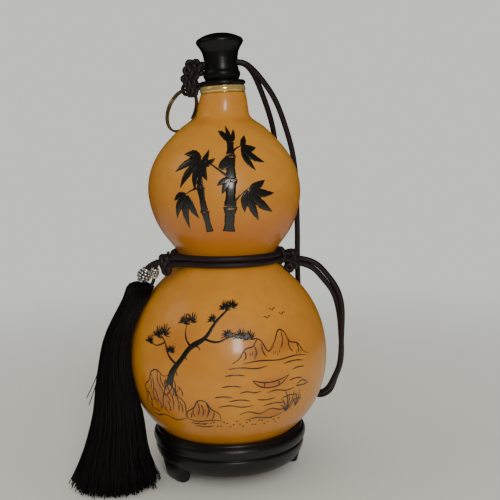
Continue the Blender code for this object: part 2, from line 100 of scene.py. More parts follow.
def natural_spline(knots, values, at):
    """Values at `at` on the natural cubic spline: cubic pieces whose slope and bend meet at each knot."""
    knots = np.asarray(knots, float)
    values = np.asarray(values, float)
    step = np.diff(knots)
    slope = np.diff(values) / step
    size = len(knots)
    inner = np.arange(1, size - 1)
    system = np.eye(size)
    system[inner, inner - 1] = step[:-1]
    system[inner, inner] = 2 * (step[:-1] + step[1:])
    system[inner, inner + 1] = step[1:]
    bend = np.linalg.solve(system, np.r_[0.0, 6 * np.diff(slope), 0.0])
    at = np.asarray(at, float)
    k = np.clip(np.searchsorted(knots, at, side="right") - 1, 0, size - 2)
    a = (knots[k + 1] - at) / step[k]
    b = 1 - a
    cubic = (a ** 3 - a) * bend[k] + (b ** 3 - b) * bend[k + 1]
    return a * values[k] + b * values[k + 1] + cubic * step[k] ** 2 / 6


def distance_along(path):
    """How far along a path each of its points lies."""
    return np.r_[0.0, np.cumsum(np.linalg.norm(np.diff(path, axis=0), axis=1))]


def smooth_path(points, count):
    """`count` points, evenly spaced along the natural spline over the chord length through `points`."""
    points = np.asarray(points, float)
    chord = distance_along(points)
    fine = np.linspace(0.0, chord[-1], SPLINE_STEPS * len(points))
    curve = np.stack([natural_spline(chord, column, fine) for column in points.T], axis=1)
    run = distance_along(curve)
    even = np.linspace(0.0, run[-1], count)
    return np.stack([np.interp(even, run, column) for column in curve.T], axis=1)


def tube(path, out, radius, closed=False):
    """Rings of points round a path, each square to it and starting towards `out`.

    radius is an array of (ring, point) or (1, point), so the tube can have a relief.
    """
    run = np.roll(path, -1, axis=0) - np.roll(path, 1, axis=0) if closed else np.gradient(path, axis=0)
    run = unit(run)
    out = np.broadcast_to(np.asarray(out, float), path.shape)
    out = unit(out - (out * run).sum(axis=1, keepdims=True) * run)
    side = np.cross(run, out)
    angle = TURN * np.arange(radius.shape[1]) / radius.shape[1]
    circle = np.cos(angle)[:, None] * out[:, None] + np.sin(angle)[:, None] * side[:, None]
    return path[:, None] + radius[:, :, None] * circle


def skin(name, grids, mat, closed=False, marks=None):
    """One mesh over grids of points (row, point, xyz in mm), ridden on the body.

    Each row is a closed ring that joins the next, point by point, so a grid is
    a tube. A closed grid's last row joins its first; any other has each end
    shut by a fan round its middle. The UV map holds millimetres along the tube
    and round it. marks are vertex values by name, an array for each grid.
    """
    points, faces, maps = [], [], []
    closed = np.broadcast_to(closed, len(grids))
    marked = {mark: [] for mark in marks or {}}
    first = 0
    for number, grid in enumerate(grids):
        rows, sides = grid.shape[:2]
        index = first + np.arange(rows * sides).reshape(rows, sides)
        low, high = (index, np.roll(index, -1, 0)) if closed[number] else (index[:-1], index[1:])
        quads = np.stack([low, np.roll(low, -1, 1), np.roll(high, -1, 1), high], axis=2)
        faces += quads.reshape(-1, 4).tolist()
        along = distance_along(np.vstack([grid, grid[:1]]).mean(axis=1))[:len(low) + 1]
        round_it = distance_along(np.vstack([grid[0], grid[0, :1]]))
        u = np.stack([along[:-1], along[:-1], along[1:], along[1:]], axis=1)[:, None]
        v = np.stack([round_it[:-1], round_it[1:], round_it[1:], round_it[:-1]], axis=1)[None]
        maps.append(np.stack(np.broadcast_arrays(u, v), axis=3).reshape(-1, 2))
        points.append(grid.reshape(-1, 3))
        for mark, values in marked.items():
            values.append(np.broadcast_to(marks[mark][number], (rows, sides)).ravel())
        first += rows * sides
        if closed[number]:
            continue
        bottom = np.stack([np.full(sides, first), np.roll(index[0], -1), index[0]], axis=1)
        top = np.stack([np.full(sides, first + 1), index[-1], np.roll(index[-1], -1)], axis=1)
        faces += bottom.tolist() + top.tolist()
        maps.append(np.zeros((6 * sides, 2)))
        points.append(grid[[0, -1]].mean(axis=1))
        for values in marked.values():
            values.append(values[-1][[0, -1]])
        first += 2
    mesh = bpy.data.meshes.new(name)
    mesh.from_pydata(np.concatenate(points) * MM, [], faces)
    mesh.uv_layers.new(name="run").data.foreach_set("uv", np.concatenate(maps).ravel())
    for mark, values in marked.items():
        mesh.attributes.new(mark, "FLOAT", "POINT").data.foreach_set("value", np.concatenate(values))
    mesh.shade_smooth()
    mesh.materials.append(mat)
    piece = bpy.data.objects.new(name, mesh)
    bpy.context.scene.collection.objects.link(piece)
    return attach(piece, "root")


def linear(hex_colour):
    """sRGB hex to the linear values, with alpha, that a shader takes."""
    parts = [int(hex_colour[i:i + 2], 16) / 255 for i in (0, 2, 4)]
    return [v / 12.92 if v <= 0.04045 else ((v + 0.055) / 1.055) ** 2.4 for v in parts] + [1.0]


def new_material(name, sockets):
    """A material whose one shader has these values on its sockets."""
    mat = bpy.data.materials.new(name)
    mat.use_nodes = True
    shader = mat.node_tree.nodes["Principled BSDF"]
    for socket, value in sockets.items():
        shader.inputs[socket].default_value = value
    return mat


def add_node(mat, kind, inputs, to=None, **settings):
    """Adds a node with its settings and returns its first output.

    inputs are values or other nodes' outputs by socket. `to` is the shader's
    socket that the output feeds.
    """
    node = mat.node_tree.nodes.new("ShaderNode" + kind)
    for name, value in settings.items():
        setattr(node, name, value)
    for socket, value in inputs.items():
        if isinstance(value, bpy.types.NodeSocket):
            mat.node_tree.links.new(value, node.inputs[socket])
        else:
            node.inputs[socket].default_value = value
    shown = next(output for output in node.outputs if output.enabled)
    if to:
        mat.node_tree.links.new(shown, mat.node_tree.nodes["Principled BSDF"].inputs[to])
    return shown


def per_mm(size):
    """The scale of a pattern whose features are `size` mm wide."""
    return 1 / (size * MM)


# Braided polyester cord: very dark brown with a touch of purple. Fine filaments
# give each yarn a soft sheen, so it looks matt. Its colour holds painted shade:
# darker in the grooves between the yarns and paler on their ridges, by the ridge
# height times fine fibre noise.
cord_mat = new_material("braided_polyester_cord", {
    "Roughness": 0.5, "IOR": 1.5, "Sheen Weight": 0.08, "Sheen Roughness": 0.4,
    "Sheen Tint": linear("8A7076"), "Specular IOR Level": 0.4,
})
place = add_node(cord_mat, "TexCoord", {}).node.outputs["Object"]
ridge = add_node(cord_mat, "Attribute", {}, attribute_name="ridge").node.outputs["Fac"]
fibre = add_node(cord_mat, "TexNoise", {"Vector": place, "Scale": per_mm(0.5), "Detail": 2.0})
# painted shade: the ridge height darkens the grooves between yarns and lightens the ridges
painted_groove_shade = add_node(cord_mat, "Math", {0: ridge, 1: fibre}, operation="MULTIPLY")
add_node(cord_mat, "Mix", {0: painted_groove_shade, "A": linear("10090B"), "B": linear("2C1D20")}, "Base Color",
         data_type="RGBA")
add_node(cord_mat, "Bump", {"Height": fibre, "Strength": 0.25, "Distance": 0.1 * MM}, "Normal")


def braided(route, diameter, out, closed=False):
    """Grid and ridge heights of a round braid along a route of (x, y, z) in mm, and its middle line.

    Two sets of yarns wind round the core, one each way, and cos(first) times
    cos(second) says which set lies on top. Across a yarn the height follows
    the cosine of its phase, so it has a rounded ridge and falls away to the next.
    """
    route = np.asarray(route, float)
    looped = np.vstack([route, route[:1]]) if closed else route
    length = distance_along(looped)[-1]
    rows = round(length / BRAID_STEP)
    path = smooth_path(looped, rows + 1)[:-1] if closed else smooth_path(route, rows)
    out = np.broadcast_to(np.asarray(out, float), route.shape)
    spot = np.linspace(0, len(out) - 1, rows)
    out = np.stack([np.interp(spot, np.arange(len(out)), column) for column in out.T], axis=1)
    turns = 2 * round(length * YARNS / BRAID_PITCH / 2) / YARNS * np.arange(rows)[:, None] / rows
    sides = 4 * YARNS
    around = np.arange(sides)[None] / sides
    first = math.pi * YARNS * (around - turns)
    second = math.pi * YARNS * (around + turns)
    over = 0.5 + 0.5 * np.cos(first) * np.cos(second)
    ridge = np.maximum(over * np.abs(np.cos(first)) ** 0.6, (1 - over) * np.abs(np.cos(second)) ** 0.6)
    radius = diameter / 2 + BRAID_RELIEF * diameter / CORD_D * (ridge - 0.5)
    return tube(path, out, radius, closed), ridge, path


loop_middle, loop_spread = np.array(LOOP).transpose(1, 0, 2)
for name, start, way in (("sling_strand_1", STRAND_1, 1), ("sling_strand_2", STRAND_2, -1)):
    route = np.concatenate([start, loop_middle + way * TOUCHING * loop_spread])
    grid, ridge, path = braided(route, CORD_D, (0.0, 1.0, 0.0))
    strand = skin("braided_" + name, [grid], cord_mat, marks={"ridge": [ridge]})
    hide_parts(name)


# Waist cord: two turns of the same braided cord, drawn tight in the waist of
# the gourd. The shell below follows the same slightly bent axis.
SPINE = [(0.0, 0.0), (80.0, 0.0), (128.0, 0.9), (165.0, 0.2), (205.0, -0.3), (227.0, 0.5)]
WAIST_CORD_R = 32.7
WAIST_POINTS = 96
around = TURN * np.arange(WAIST_POINTS) / WAIST_POINTS
for name, height in (("waist_cord_lower", 129.5), ("waist_cord_upper", 133.1)):
    out = np.stack([np.cos(around), np.sin(around), 0 * around], axis=1)
    centre = (natural_spline(*zip(*SPINE), height), 0.0, height)
    grid, ridge, _ = braided(centre + WAIST_CORD_R * out, CORD_D, out, closed=True)
    turn = skin("braided_" + name, [grid], cord_mat, True, {"ridge": [ridge]})
    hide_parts(name)


# Waist knots: at each side of the waist the cord is woven into a ball, in which it
# runs round three times. Short cut ends stand out of the left one.
BALL_SWING = 1.12            # the cord's greatest slope from the ball's waist, in radians
UPRIGHT = (0.0, 0.0, 1.0)


def woven_ball(centre, half, bights, thick, diameter):
    """One cord woven into a ball, as (route, outward directions, diameter, closed).

    It runs round three times while it swings `bights` times from one end of
    the ball to the other. Its depth swings with sin(2 bights t), so it passes
    over and under by turns.
    """
    t = TURN * np.arange(240) / 240
    tilt = BALL_SWING * np.sin(bights * t)
    way = np.stack([np.cos(tilt) * np.cos(3 * t), np.cos(tilt) * np.sin(3 * t), np.sin(tilt)], axis=1)
    deep = thick * (0.5 + 0.4 * (1 + np.sin(2 * bights * t)))
    return np.asarray(centre) + way * (np.asarray(half) - deep[:, None]), way, diameter, True


def ear(centre, along, radius, diameter):
    """A small round loop of cord about an axis `along`, given as woven_ball gives its cord."""
    t = TURN * np.arange(40) / 40
    along = unit(along)
    side = unit(np.cross(along, UPRIGHT))
    way = np.cos(t)[:, None] * side + np.sin(t)[:, None] * np.cross(along, side)
    return np.asarray(centre) + radius * way, way, diameter, True


def whipping(centre, along, half_out, half_up, turns, spacing, diameter):
    """A cord wound round a bundle, its turns side by side `along` it, given as woven_ball gives its cord."""
    t = TURN * np.linspace(0.0, turns, 24 * turns)
    along = unit(along)
    out = np.cross(along, UPRIGHT)
    way = np.cos(t)[:, None] * half_out * out + np.sin(t)[:, None] * half_up * np.array(UPRIGHT)
    route = np.asarray(centre) + way + (t / TURN - turns / 2)[:, None] * spacing * along
    return route, way, diameter, False


def short_run(points, diameter, out=UPRIGHT):
    """A short run of cord through points, given as woven_ball gives its cord."""
    return points, out, diameter, False


def tied(name, node, cords):
    """A knot of cords that stands for a node."""
    closed = [cord[3] for cord in cords]
    grids, ridges, _ = zip(*(braided(route, diameter, out, shut) for route, out, diameter, shut in cords))
    knot = skin(name, grids, cord_mat, closed, {"ridge": ridges})
    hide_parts(node)
    return knot


tied("right_waist_knot", "waist_knot_right", [
    woven_ball((39.6, -0.6, 128.4), (5.2, 5.2, 7.0), 4, 3.0, 3.0),
    woven_ball((39.6, -0.6, 128.4), (3.4, 3.4, 5.4), 4, 2.4, 2.6),
    whipping((32.7, -7.4, 131.3), (0.225, 0.974, 0.0), 2.5, 4.4, 3, 1.5, 1.8),
    short_run([(32.6, -8.6, 133.0), (35.6, -6.8, 133.0), (38.2, -3.6, 131.6), (40.0, -0.6, 129.6)], 3.2),
    short_run([(32.4, -8.8, 129.6), (35.4, -7.4, 129.0), (38.2, -4.2, 128.0), (40.0, -0.8, 127.0)], 3.2),
    ear((38.0, -3.4, 123.3), (0.15, 1.0, 0.1), 1.75, 3.3),
    ear((40.8, -2.6, 124.8), (0.3, 1.0, 0.0), 1.5, 2.9),
])
FACING = (0.0, -1.0, 0.0)
tied("left_waist_knot", "waist_knot_left", [
    woven_ball((-34.4, -19.0, 129.7), (4.7, 4.8, 6.2), 4, 2.8, 2.8),
    woven_ball((-34.4, -19.0, 129.7), (3.1, 3.1, 4.6), 4, 2.2, 2.4),
    short_run([(-18.6, -26.2, 133.1), (-24.6, -24.6, 133.1), (-29.4, -22.6, 132.9),
               (-33.4, -19.6, 131.6)], 3.2),
    short_run([(-18.6, -26.2, 129.5), (-24.8, -24.6, 129.5), (-29.6, -22.6, 129.0),
               (-33.4, -19.6, 128.0)], 3.2),
    ear((-34.2, -19.6, 125.3), (0.3, 1.0, 0.1), 1.7, 3.2),
    ear((-36.2, -18.4, 132.3), (0.3, 1.0, 0.1), 1.4, 2.6),
    short_run([(-33.2, -19.6, 132.4), (-32.6, -20.2, 134.4), (-32.9, -20.6, 136.4)], 1.6, FACING),
    short_run([(-32.0, -20.0, 132.6), (-30.2, -20.8, 134.6), (-28.8, -21.2, 136.6)], 1.6, FACING),
    short_run([(-32.6, -20.0, 132.8), (-31.2, -20.6, 134.2), (-30.6, -20.8, 135.4)], 1.6, FACING),
])


# Beads: hollow filigree balls, silver plated, threaded on the tassel's cords.
# Rows of raised grains cover them, with a ring at each bore. The gaps between
# the grains and the bore are painted near black, a painted shade for the dark
# inside of the openwork.
silver_mat = new_material("silver_filigree", {"Metallic": 0.8, "Roughness": 0.16})
relief = add_node(silver_mat, "Attribute", {}, attribute_name="relief").node.outputs["Fac"]
# painted shade: where the relief is 0, in the gaps and the bore, the silver turns near black
add_node(silver_mat, "Mix", {0: relief, "A": linear("0C0A08"), "B": linear("FAF8F2")}, "Base Color",
         data_type="RGBA")
add_node(silver_mat, "MapRange", {"Value": relief, "To Min": 0.5, "To Max": 0.12}, "Roughness")
GRAIN_ROWS = 5
GRAIN_HALF = 0.46            # half a grain's width, as a share of its cell
GRAIN_RISE = 0.17            # its height, as a share of the bead's radius
BEAD_ROWS = 105
BEAD_SIDES = 168


def turned(profile, sides):
    """A profile of (radius, height) carried round the z axis."""
    angle = TURN * np.arange(sides) / sides
    radius, height = np.asarray(profile, float).T[:, :, None]
    return np.stack([radius * np.cos(angle), radius * np.sin(angle), height + 0 * angle], axis=2)


def filigree_bead(name, node, centre, along, diameter, bore, grains):
    """A ball with a bore, covered in domed grains.

    The ball is cut into rows and each row into cells, fewer near the bore.
    A cell rises as a half ball: the root of one less the squared distance
    from its middle.
    """
    cut_off = math.asin(bore / diameter)
    polar = np.linspace(cut_off, math.pi - cut_off, BEAD_ROWS)[:, None]
    round_it = TURN * np.arange(BEAD_SIDES)[None] / BEAD_SIDES
    row = (polar - cut_off) / (math.pi - 2 * cut_off) * GRAIN_ROWS
    which = np.minimum(np.floor(row), GRAIN_ROWS - 1)
    middle = cut_off + (which + 0.5) * (math.pi - 2 * cut_off) / GRAIN_ROWS
    across = (round_it / TURN * np.round(grains * np.sin(middle)) + 0.5 * (which % 2)) % 1.0 - 0.5
    from_middle = (across ** 2 + (row - which - 0.5) ** 2) / GRAIN_HALF ** 2
    dome = np.sqrt(np.clip(1 - from_middle, 0.0, 1.0))
    radius = diameter / 2 * (1 - GRAIN_RISE + GRAIN_RISE * dome)
    ball = np.stack([radius * np.sin(polar) * np.cos(round_it), radius * np.sin(polar) * np.sin(round_it),
                     -radius * np.cos(polar)], axis=2)
    inside = turned([(bore / 2 + 0.05, diameter / 4), (bore / 2 + 0.05, -diameter / 4)], BEAD_SIDES)
    along = unit(along)
    side = unit(np.cross(along, (0.0, 1.0, 0.0)))
    frame_of = np.stack([side, np.cross(along, side), along])
    grids = [np.concatenate([ball, inside])]
    marks = [np.concatenate([dome, np.zeros((2, BEAD_SIDES))])]
    turn = TURN * np.arange(40)[:, None] / 40
    way = np.concatenate([np.cos(turn), np.sin(turn), 0 * turn], axis=1)
    for end in (-1, 1):
        path = (bore / 2 + 0.5) * way + (0.0, 0.0, end * diameter / 2 * math.cos(cut_off))
        grids.append(tube(path, way, np.full((1, 10), 0.4), True))
        marks.append(1.0)
    placed = [np.asarray(centre) + grid @ frame_of for grid in grids]
    bead = skin(name, placed, silver_mat, True, {"relief": marks})
    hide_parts(node)
    return bead


LARGE_BEAD = np.array([-48.2, -12.0, 121.6])
LARGE_WAY = unit((-0.45, 0.1, -0.89))
SMALL_BEAD = np.array([-41.3, -17.8, 123.8])
SMALL_WAY = unit((-0.2, 0.25, -0.95))
large_bead = filigree_bead("large_filigree_bead", "large_bead", LARGE_BEAD, LARGE_WAY, 9.0, 4.0, 10)
small_bead = filigree_bead("small_filigree_bead", "small_bead", SMALL_BEAD, SMALL_WAY, 5.6, 2.8, 8)


# Tassel: a hank of black artificial silk folded over its hanging cord, bound
# at the neck and cut at the foot. It lies against the belly's shoulder.
# Each row is the middle of the hank, half its depth outwards and half its width.
TASSEL_LINE = [
    ((-52.6, -13.4, 117.6), 2.4, 3.0), ((-51.4, -12.8, 116.9), 5.4, 5.0), ((-50.6, -12.6, 114.8), 8.0, 6.6),
    ((-52.4, -13.2, 109.5), 8.0, 7.2), ((-55.8, -14.8, 104.0), 7.3, 8.4),
    ((-61.0, -17.0, 94.5), 7.2, 9.9), ((-65.0, -18.9, 83.0), 7.9, 11.0),
    ((-66.2, -20.6, 70.0), 9.3, 12.2), ((-65.9, -22.1, 55.0), 11.9, 14.0),
    ((-65.2, -23.4, 42.0), 14.1, 15.8), ((-65.9, -24.6, 30.0), 16.4, 17.6),
    ((-67.0, -25.8, 16.0), 19.2, 20.0), ((-67.4, -26.8, 0.8), 23.4, 24.0),
]
# The belly that the hank leans on: radius and height, with a little room
BELLY = [(39.8, 118.0), (42.0, 115.0), (46.9, 110.0), (50.4, 104.0), (55.9, 95.0), (59.2, 84.0), (60.9, 72.0),
         (60.5, 62.0), (58.0, 51.0), (54.2, 42.5), (49.6, 36.5)]
THREADS = 1500
THREAD_ROWS = 20
THREAD_D = 0.62              # coarser than real silk, so that single threads show
LOCKS = 34                   # loose groups that the threads hang in
LOCK_SPREAD = 0.55           # how far threads stray from their lock, as a share of the locks' spacing
WAVER = 0.035                # how far a thread weaves to and fro round the hank, in radians
LOOSENESS = 0.03             # how far the foot's threads leave the hank's skin, as a share of its depth
SPLAY = 0.16                 # the most that a thread turns out at the foot, as a share of its depth
CORE = 0.8                   # the solid middle that keeps light out
silk_mat = new_material("black_silk_thread", {
    "Base Color": linear("0D090B"), "Roughness": 0.45, "IOR": 1.5, "Specular IOR Level": 0.2,
})
thread_tone = add_node(silk_mat, "Attribute", {}, attribute_name="tone").node.outputs["Fac"]
add_node(silk_mat, "Mix", {0: thread_tone, "A": linear("040303"), "B": linear("100B0D")}, "Base Color",
         data_type="RGBA")
rng = np.random.default_rng(11)
stations = np.array([(*middle, deep, wide) for middle, deep, wide in TASSEL_LINE])
rows = np.concatenate([stations[:2], smooth_path(stations[2:], THREAD_ROWS - 2)])
hank, deep, wide = rows[:, :3], rows[:, 3], rows[:, 4]
hank_out = unit(hank * (1.0, 1.0, 0.0))
hank_side = np.cross(hank_out, (0.0, 0.0, 1.0))
fall = np.linspace(0.0, 1.0, THREAD_ROWS)


def in_hank(angle, depth):
    """Points in the hank at an angle round it and a depth from 0, its middle, to 1, its surface.

    Any that would lie inside the belly are pushed straight out to its skin.
    """
    across = (wide * depth * np.cos(angle))[..., None] * hank_side
    points = hank + across + (deep * depth * np.sin(angle))[..., None] * hank_out
    belly_height, belly_radius = np.array(BELLY)[::-1, ::-1].T
    least = np.interp(points[..., 2], belly_height, belly_radius, left=0.0)
    reach = np.linalg.norm(points[..., :2], axis=-1)
    points[..., :2] *= np.maximum(1.0, (least + 0.5 * (1.0 - np.minimum(depth, 1.0))) / reach)[..., None]
    return points


lock = rng.integers(0, LOCKS, THREADS)[:, None]
lock_angle = TURN * (np.arange(LOCKS) + 0.5 * rng.random(LOCKS)) / LOCKS
spread_angle = rng.normal(0.0, LOCK_SPREAD, (THREADS, 1)) * TURN / LOCKS
waver = rng.normal(0.0, WAVER, (THREADS, 1)) * np.sin(7 * fall + TURN * rng.random((THREADS, 1))) * fall
angle = lock_angle[lock] + spread_angle * (0.6 + 0.8 * fall) + waver
depth = 1.0 - 0.2 * rng.random((THREADS, 1)) ** 1.5 - 0.05 * np.cos(math.pi * spread_angle * LOCKS / TURN)
depth = np.clip(depth + LOOSENESS * fall * rng.normal(0.0, 1.0, (THREADS, 1)), 0.6, 1.02)
# Towards the foot some threads splay outwards
splay = SPLAY * rng.random((THREADS, 1)) ** 3 * np.clip((fall - 0.8) / 0.2, 0.0, 1.0) ** 1.5
threads = in_hank(angle, depth + splay)
length_left = 1.0 - 0.03 * rng.random((THREADS, 1)) ** 2
at = fall * length_left * (THREAD_ROWS - 1)
low = np.minimum(at.astype(int), THREAD_ROWS - 2)
part = (at - low)[:, :, None]
which = np.arange(THREADS)[:, None]
threads = threads[which, low] * (1 - part) + threads[which, low + 1] * part
thin = np.full((1, 3), THREAD_D / 2)
thread_grids = [tube(path, hank_out, thin) for path in threads]
tones = list(np.round(rng.random(THREADS), 2))
# Strays: single threads that have sprung away from the hank, by the photograph's sides
STRAYS = [
    [(-69.8, -19.0, 86.0), (-73.0, -21.0, 76.0), (-77.4, -22.0, 63.0), (-83.4, -23.0, 50.6)],
    [(-69.6, -18.0, 88.0), (-72.6, -20.6, 77.0), (-76.6, -22.4, 62.0), (-82.0, -24.0, 46.6)],
    [(-75.2, -22.0, 62.0), (-77.6, -24.0, 48.0), (-80.6, -25.0, 34.0), (-83.8, -26.0, 22.0)],
    [(-80.6, -24.0, 32.0), (-84.6, -26.0, 22.0), (-88.4, -28.0, 10.0), (-90.6, -29.0, 1.2)],
    [(-81.0, -27.0, 30.0), (-85.6, -28.0, 17.0), (-87.6, -29.0, 7.0), (-88.6, -30.0, 0.9)],
    [(-55.6, -29.0, 60.0), (-52.4, -31.0, 48.0), (-50.6, -32.0, 36.0), (-50.2, -33.0, 22.0)],
    [(-54.6, -30.0, 54.0), (-50.8, -32.0, 42.0), (-49.6, -33.0, 32.0), (-49.4, -34.0, 20.0)],
    [(-53.4, -32.0, 38.0), (-49.0, -36.0, 24.0), (-45.6, -38.0, 12.0), (-42.0, -40.0, 1.2)],
    [(-54.0, -34.0, 30.0), (-49.8, -38.0, 16.0), (-45.8, -40.0, 6.0), (-43.6, -41.0, 0.9)],
]
thread_grids += [tube(smooth_path(points, 12), (0.0, -1.0, 0.0), thin) for points in STRAYS]
tones += [0.5] * len(STRAYS)
core = in_hank(TURN * np.arange(72)[:, None] / 72, CORE + 0 * fall).transpose(1, 0, 2)
tassel = skin("silk_tassel", [core] + thread_grids, silk_mat, marks={"tone": [0.0] + tones})
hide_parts("tassel")


# Tassel cords: a thick cord laid from three plies runs from the left knot
# through the large bead into the tassel, and a thin one through the small bead.
THICK = [(-35.6, -18.9, 130.4), (-38.4, -18.0, 130.2), (-41.0, -16.8, 129.2), (-43.8, -14.6, 127.6),
         LARGE_BEAD - 3.7 * LARGE_WAY, LARGE_BEAD, LARGE_BEAD + 3.7 * LARGE_WAY,
         (-51.6, -12.4, 113.6), (-53.4, -13.4, 108.6), (-55.8, -14.6, 104.0)]
THIN = [(-36.6, -19.4, 131.4), (-38.8, -19.4, 129.4), SMALL_BEAD - 3.0 * SMALL_WAY, SMALL_BEAD,
        SMALL_BEAD + 3.0 * SMALL_WAY, (-42.6, -15.8, 118.4), (-44.2, -14.6, 115.6), (-47.0, -14.0, 111.8),
        (-50.4, -14.0, 107.6), (-53.4, -14.6, 103.2)]
LAID_STEP = 0.25             # between two rings of points along a laid cord


def laid(route, diameter, pitch):
    """Grid, ridge heights and middle line of a cord of three plies.

    Round it the radius follows |cos| of one and a half times the angle, so
    three ridges stand out, and they turn once round it in each pitch.
    """
    length = distance_along(np.array(route))[-1]
    path = smooth_path(route, round(length / LAID_STEP))
    phase = TURN * distance_along(path)[:, None] / pitch
    ridge = np.abs(np.cos(1.5 * (TURN * np.arange(24)[None] / 24 - phase))) ** 0.7
    return tube(path, (0.0, 0.0, 1.0), diameter / 2 * (0.8 + 0.32 * ridge)), ridge, path


for name, route, diameter, pitch, bead in (
        ("tassel_cord_1", THICK, 3.4, 6.5, large_bead), ("tassel_cord_2", THIN, 2.0, 4.2, small_bead)):
    grid, ridge, path = laid(route, diameter, pitch)
    hanger = skin("laid_" + name, [grid], cord_mat, marks={"ridge": [ridge]})
    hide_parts(name)


# Neck knot: the same cord's two ends leave the stopper's slot and are tied in
# a woven ball with small ears, over a second ball that carries the split ring.
RING_CENTRE = np.array([-24.6, 8.4, 218.0])
RING_R = 13.1                # to the middle of the wire
RING_UP = unit((0.235, -0.30, 0.925))
RING_ACROSS = np.array([0.559, 0.829, 0.0])
RING_ACROSS = unit(RING_ACROSS - RING_ACROSS @ RING_UP * RING_UP)
LEVEL = (0.0, 1.0, 0.0)
tied("neck_knot_cord", "neck_knot", [
    woven_ball((-16.9, 0.0, 240.6), (5.0, 4.4, 6.6), 4, 2.8, 2.8),
    woven_ball((-16.9, 0.0, 240.6), (3.2, 2.8, 4.8), 4, 2.4, 2.6),
    woven_ball((-17.6, 0.2, 231.0), (4.4, 3.4, 6.8), 5, 2.4, 2.4),
    woven_ball((-17.6, 0.2, 231.0), (2.7, 2.2, 5.0), 4, 2.0, 2.2),
    woven_ball((-13.0, 0.0, 241.4), (3.0, 3.6, 4.6), 4, 2.4, 2.6),
    woven_ball((-13.0, 0.0, 241.4), (1.8, 2.2, 3.0), 4, 1.6, 2.0),
    ear((-15.0, 0.2, 245.0), (0.1, 1.0, 0.1), 1.5, 2.6),
    ear((-18.6, -0.2, 244.6), (-0.1, 1.0, 0.0), 1.6, 2.6),
    ear((-11.4, -0.6, 243.4), (0.1, 1.0, 0.0), 1.4, 2.4),
    ear((-20.2, -0.4, 240.9), (0.1, 1.0, 0.0), 1.7, 2.6),
    ear((-22.0, 0.2, 236.2), (0.2, 1.0, 0.0), 1.3, 2.5),
    ear((-20.6, -0.4, 233.2), (0.2, 1.0, 0.0), 1.3, 2.5),
    ear((-14.6, -0.4, 231.6), (0.2, 1.0, 0.0), 1.3, 2.5),
    ear(RING_CENTRE + RING_R * RING_UP, RING_ACROSS, 2.8, 2.1),
    short_run([(-11.2, -1.8, 244.0), (-13.2, -1.7, 242.6), (-13.6, -1.4, 239.8),
               (-15.5, -0.8, 238.0)], 2.8, LEVEL),
    short_run([(-11.2, 1.8, 244.0), (-13.2, 1.7, 242.6), (-13.6, 1.4, 239.8),
               (-15.5, 0.8, 238.0)], 2.8, LEVEL),
])


# Split ring: two turns of spring wire, side by side, plated brass and worn.
# The wire steps across from one turn to the other near its ends.
WIRE = 1.32
STEP_ACROSS = 0.38           # angle over which the wire changes sides
WIRE_END = -0.9              # angle of the wire's first end from the ring's middle line


def smoothstep(x):
    """Rises from 0 to 1 with no slope at either end."""
    x = np.clip(x, 0.0, 1.0)
    return x * x * (3 - 2 * x)


ring_normal = np.cross(RING_ACROSS, RING_UP)
t = np.linspace(STEP_ACROSS, 2 * TURN, 220)
shift = (smoothstep((t - TURN) / STEP_ACROSS) - 0.5) * WIRE
way = np.cos(t + WIRE_END)[:, None] * RING_ACROSS + np.sin(t + WIRE_END)[:, None] * RING_UP
wire_path = RING_CENTRE + RING_R * way + shift[:, None] * ring_normal
wire_mat = new_material("worn_brass_wire", {
    "Metallic": 0.75, "Roughness": 0.3, "Base Color": linear("8A7444"),
})
place = add_node(wire_mat, "TexCoord", {}).node.outputs["Object"]
wear = add_node(wire_mat, "TexNoise", {"Vector": place, "Scale": per_mm(2.5), "Detail": 3.0})
add_node(wire_mat, "Mix", {0: wear, "A": linear("3F341E"), "B": linear("857247")}, "Base Color",
         data_type="RGBA")
add_node(wire_mat, "MapRange", {"Value": wear, "To Min": 0.2, "To Max": 0.42}, "Roughness")
ring = skin("split_ring_wire", [tube(wire_path, way, np.full((1, 14), WIRE / 2))], wire_mat)
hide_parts("split_ring")


# Gourd: one dried, scraped and varnished fruit shell, hollow and open at the
# neck. Its outline is the radius and height of the skin from the blossom end.
PIVOT_Z = 227.0              # the neck is straight above this height
LEAN = math.radians(2.6)
LEAN_FROM_Z = 208.0
OUTLINE = [
    (0.0, 11.2), (22.0, 15.4), (40.7, 27.0), (53.6, 42.5), (60.3, 72.0), (55.3, 95.0), (46.3, 110.0),
    (33.6, 123.6), (29.4, 131.0), (35.3, 142.0), (43.6, 158.5), (45.4, 171.0), (40.0, 190.0),
    (28.6, 204.0), (20.9, 210.3), (16.5, 213.6), (15.2, 217.6), (14.4, 222.5), (13.2, 227.3),
]
NECK_TOP = [(12.0, 227.3), (12.0, 231.4), (9.7, 231.4), (9.7, 223.0)]
BELLY_R = 60.3               # where the belly is widest
WALL = 3.5
WALL_TOP = 221.0             # the shell's inner wall ends here, above it is the bored mouth
SCAR_R = 2.4
SCAR_H = 0.9
SHELL_SIDES = 256


def grow(points):
    """Bends points about a straight axis onto the gourd's own axis and its leaning neck."""
    x, y, z = np.moveaxis(np.asarray(points, float), -1, 0)
    base = np.minimum(z, PIVOT_Z)
    centre = natural_spline(*zip(*SPINE), base)
    angle = LEAN * smoothstep((z - LEAN_FROM_Z) / (PIVOT_Z - LEAN_FROM_Z))
    above = np.maximum(z - PIVOT_Z, 0.0)
    new_x = centre + x * np.cos(angle) - above * np.sin(angle)
    new_z = base + x * np.sin(angle) + above * np.cos(angle)
    return np.stack([new_x, y, new_z], axis=-1)


outline = smooth_path(OUTLINE, 600)
slope = unit(np.gradient(outline, axis=0))
outward = np.stack([slope[:, 1], -slope[:, 0]], axis=1)
inside = (outline - WALL * outward)[::-10]
inside = inside[(inside[:, 0] > 0.0) & (inside[:, 1] < WALL_TOP)]
skin_line = smooth_path(OUTLINE, 280)
skin_line[:, 1] -= SCAR_H * np.exp(-(skin_line[:, 0] / SCAR_R) ** 2)
shell = grow(turned(np.concatenate([skin_line[1:], NECK_TOP, inside]), SHELL_SIDES))
